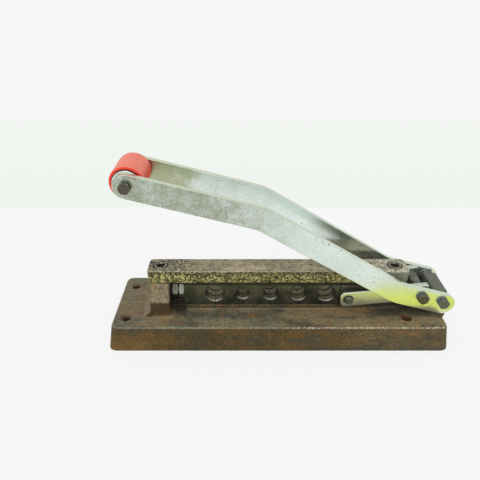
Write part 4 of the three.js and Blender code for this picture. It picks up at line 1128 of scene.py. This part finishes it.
def lever_loops():
    """Lever bar outline in XZ: three straight runs joined by two round bends, round ends."""
    runs = [(length, math.radians(angle)) for length, angle in LEVER_RUNS]
    overhang = Vector((math.cos(runs[0][1]), -math.sin(runs[0][1]))) * LEVER_OVERHANG
    points = [Vector((pivot_place.x, pivot_place.z - LEVER_TIP_DROP)) + overhang]
    for length, angle in runs:
        points.append(points[-1] + Vector((-math.cos(angle), math.sin(angle))) * length)
    headings = [math.atan2((b - a).y, (b - a).x) for a, b in zip(points, points[1:])]
    line = [(points[0], headings[0])]
    for corner, before, after in zip(points[1:], headings, headings[1:]):
        turn = after - before
        side = math.copysign(1, turn)
        reach = LEVER_BEND_RADIUS * math.tan(abs(turn) / 2)
        start = corner - Vector((math.cos(before), math.sin(before))) * reach
        middle = start + Vector((-math.sin(before), math.cos(before))) * side * LEVER_BEND_RADIUS
        for i in range(LEVER_BEND_STEPS + 1):
            heading = before + turn * i / LEVER_BEND_STEPS
            outward = Vector((math.sin(heading), -math.cos(heading))) * side
            line.append((middle + outward * LEVER_BEND_RADIUS, heading))
    line.append((points[-1], headings[-1]))
    width = LEVER_HALF_WIDTH
    sides = []
    for sign in (1, -1):
        sides.append([p + Vector((-math.sin(h), math.cos(h))) * width * sign for p, h in line])
    grip, tip = line[-1], line[0]
    outer = sides[1][:-1]
    outer += arc(*grip[0], width, grip[1] - QUARTER, grip[1] + QUARTER, LEVER_END_STEPS)
    outer += sides[0][::-1][1:-1]
    outer += arc(*tip[0], width, tip[1] + QUARTER, tip[1] + 3 * QUARTER, LEVER_END_STEPS)[:-1]
    holes = [circle(spot.x, spot.z, BOLT_HOLE) for spot in lever_spots]
    return [outer, *holes]


def plates(loops, prefix, edge):
    outer, *holes = loops
    for side in ("near", "far"):
        node = f"{prefix}_{side}"
        low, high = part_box(node)
        piece = slab(node + "_form", outer, holes, low.y, high.y, edge)
        dress(smooth_by_angle(piece), node)


plates(link_loops(), "link", LINK_EDGE)
plates(lever_loops(), "lever_bar", LEVER_EDGE)


# Bushes, washers and the grip roller


def ring(node, inner, edge=0.0003):
    """Tube or washer in a node's place, with eased rims."""
    outer, half = round_size(node)
    outline = [(inner, edge - half), (inner + edge, -half)]
    outline += arc(outer - edge, edge - half, edge, -QUARTER, 0, 3)
    outline += arc(outer - edge, half - edge, edge, 0, QUARTER, 3)
    outline += [(inner + edge, half), (inner, half - edge)]
    piece = lathe(node + "_form", outline, closed=True)
    return dress(smooth_by_angle(place(piece, centre(node), ALONG_Y)), node)


for node in ("pivot_bush", "crank_spacer", "roller_bush"):
    ring(node, BOLT_HOLE)
bush_hole = round_size("pivot_bush")[0] + WALL_GAP
for pin, hole in (("crank", BOLT_HOLE), ("roller", BOLT_HOLE), ("pivot", bush_hole)):
    for side in ("near", "far"):
        ring(f"{pin}_washer_{side}", hole)

outer, half = round_size("handle_roller")
inner, edge = outer - ROLLER_WALL, ROLLER_EDGE
rim = outer - ROLLER_LIP
floor, floor_radius = half - ROLLER_RECESS, rim - RECESS_DRAFT
outline = [(inner, -floor), (floor_radius, -floor), (rim, -half)]
outline += arc(outer - edge, edge - half, edge, -QUARTER, 0, ROLLER_EDGE_STEPS)
outline += arc(outer - edge, half - edge, edge, 0, QUARTER, ROLLER_EDGE_STEPS)
outline += [(rim, half), (floor_radius, floor), (inner, floor)]
grip = lathe("grip_roller_form", outline, steps=FINEST_STEPS, closed=True)
dress(smooth_by_angle(place(grip, roller_place, ALONG_Y)), "handle_roller")


# Camera, light and floor

CAMERA_PLACE = (-0.0335, -0.332, 0.2845)
CAMERA_DROP = 30.5
CAMERA_LENS = 34.19
CAMERA_SENSOR = 36
KEY_FROM = (-0.25, -0.75, 1.0)
KEY_STRENGTH = 1.1
KEY_SPREAD = 50
SKY_COLOUR = (0.985, 1.0, 0.985, 1)
SKY_STRENGTH = 0.74

camera_data = bpy.data.cameras.new("camera")
camera_data.lens = CAMERA_LENS
camera_data.sensor_width = CAMERA_SENSOR
camera = add_object("camera", camera_data)
camera.location = CAMERA_PLACE
camera.rotation_euler = (math.radians(90 - CAMERA_DROP), 0, 0)
bpy.context.scene.camera = camera
bpy.context.scene.view_settings.view_transform = "Standard"

key_data = bpy.data.lights.new("front_key", "SUN")
key_data.energy = KEY_STRENGTH
key_data.angle = math.radians(KEY_SPREAD)
key = add_object("front_key", key_data)
key.rotation_euler = Vector(KEY_FROM).to_track_quat("Z", "Y").to_euler()

world = bpy.data.worlds.new("pale_room")
world.use_nodes = True
background = world.node_tree.nodes["Background"]
background.inputs["Color"].default_value = SKY_COLOUR
background.inputs["Strength"].default_value = SKY_STRENGTH
bpy.context.scene.world = world

# The sheets glow by themselves for the most part, so shadows on them stay faint
SHEET_GLOW = 0.84
SHEET_SHADE = 0.16
SHEET_HALF_WIDTH = 4.0
FLOOR_NEAR, SWEEP_START, SWEEP_END, FLOOR_FAR = -4.0, 0.241, 0.9, 9.0
FLOOR_COLOUR = (0.930, 0.932, 0.930)
SWEEP_LOW_COLOUR = (0.868, 0.908, 0.858)
SWEEP_HIGH_COLOUR = (0.913, 0.930, 0.905)
CARD_COLOUR = (0.90, 0.93, 0.12)
CARD_HEIGHT = 0.0004
CARD_CORNERS = [(-0.6, -0.0880), (0.092, -0.0880), (0.130, -0.1010), (0.8, -0.1010)]
CARD_CORNERS += [(0.8, -0.0560), (0.150, -0.0560), (0.136, -0.0440), (-0.6, -0.0440)]


def dimmed(colour):
    return tuple(part * SHEET_SHADE for part in colour)


def level_sheet(name, corners, near_colour, far_colour=None, height=0.0):
    """Pale sheet with the given XY corners. With a far colour it shades into that."""
    sheet = new_piece(name, [(x, y, height) for x, y in corners], [range(len(corners))])
    finish = dict(Roughness=1.0, Specular_IOR_Level=0.0, Emission_Strength=SHEET_GLOW)
    s = Shader(name + "_paint", **finish)
    glow, shade = near_colour, dimmed(near_colour)
    if far_colour:
        depths = [y for x, y in corners]
        depth = s.step(s.along("Y"), min(depths), max(depths))
        glow, shade = s.mix(depth, glow, far_colour), s.mix(depth, shade, dimmed(far_colour))
    s.set(Base_Color=shade, Emission_Color=glow)
    sheet.data.materials.append(s.material)
    return sheet


def floor_strip(near, far):
    left, right = -SHEET_HALF_WIDTH, SHEET_HALF_WIDTH
    return [(left, near), (right, near), (right, far), (left, far)]


level_sheet("floor", floor_strip(FLOOR_NEAR, SWEEP_START), FLOOR_COLOUR)
sweep = floor_strip(SWEEP_START, SWEEP_END)
level_sheet("floor_middle", sweep, SWEEP_LOW_COLOUR, SWEEP_HIGH_COLOUR)
level_sheet("floor_rear", floor_strip(SWEEP_END, FLOOR_FAR), SWEEP_HIGH_COLOUR)

# Warm card on the floor in front, seen only in the mirror of bright metal
card = level_sheet("bounce_card", CARD_CORNERS, CARD_COLOUR, height=CARD_HEIGHT)
card.visible_camera = False
card.visible_diffuse = False
card.visible_shadow = False
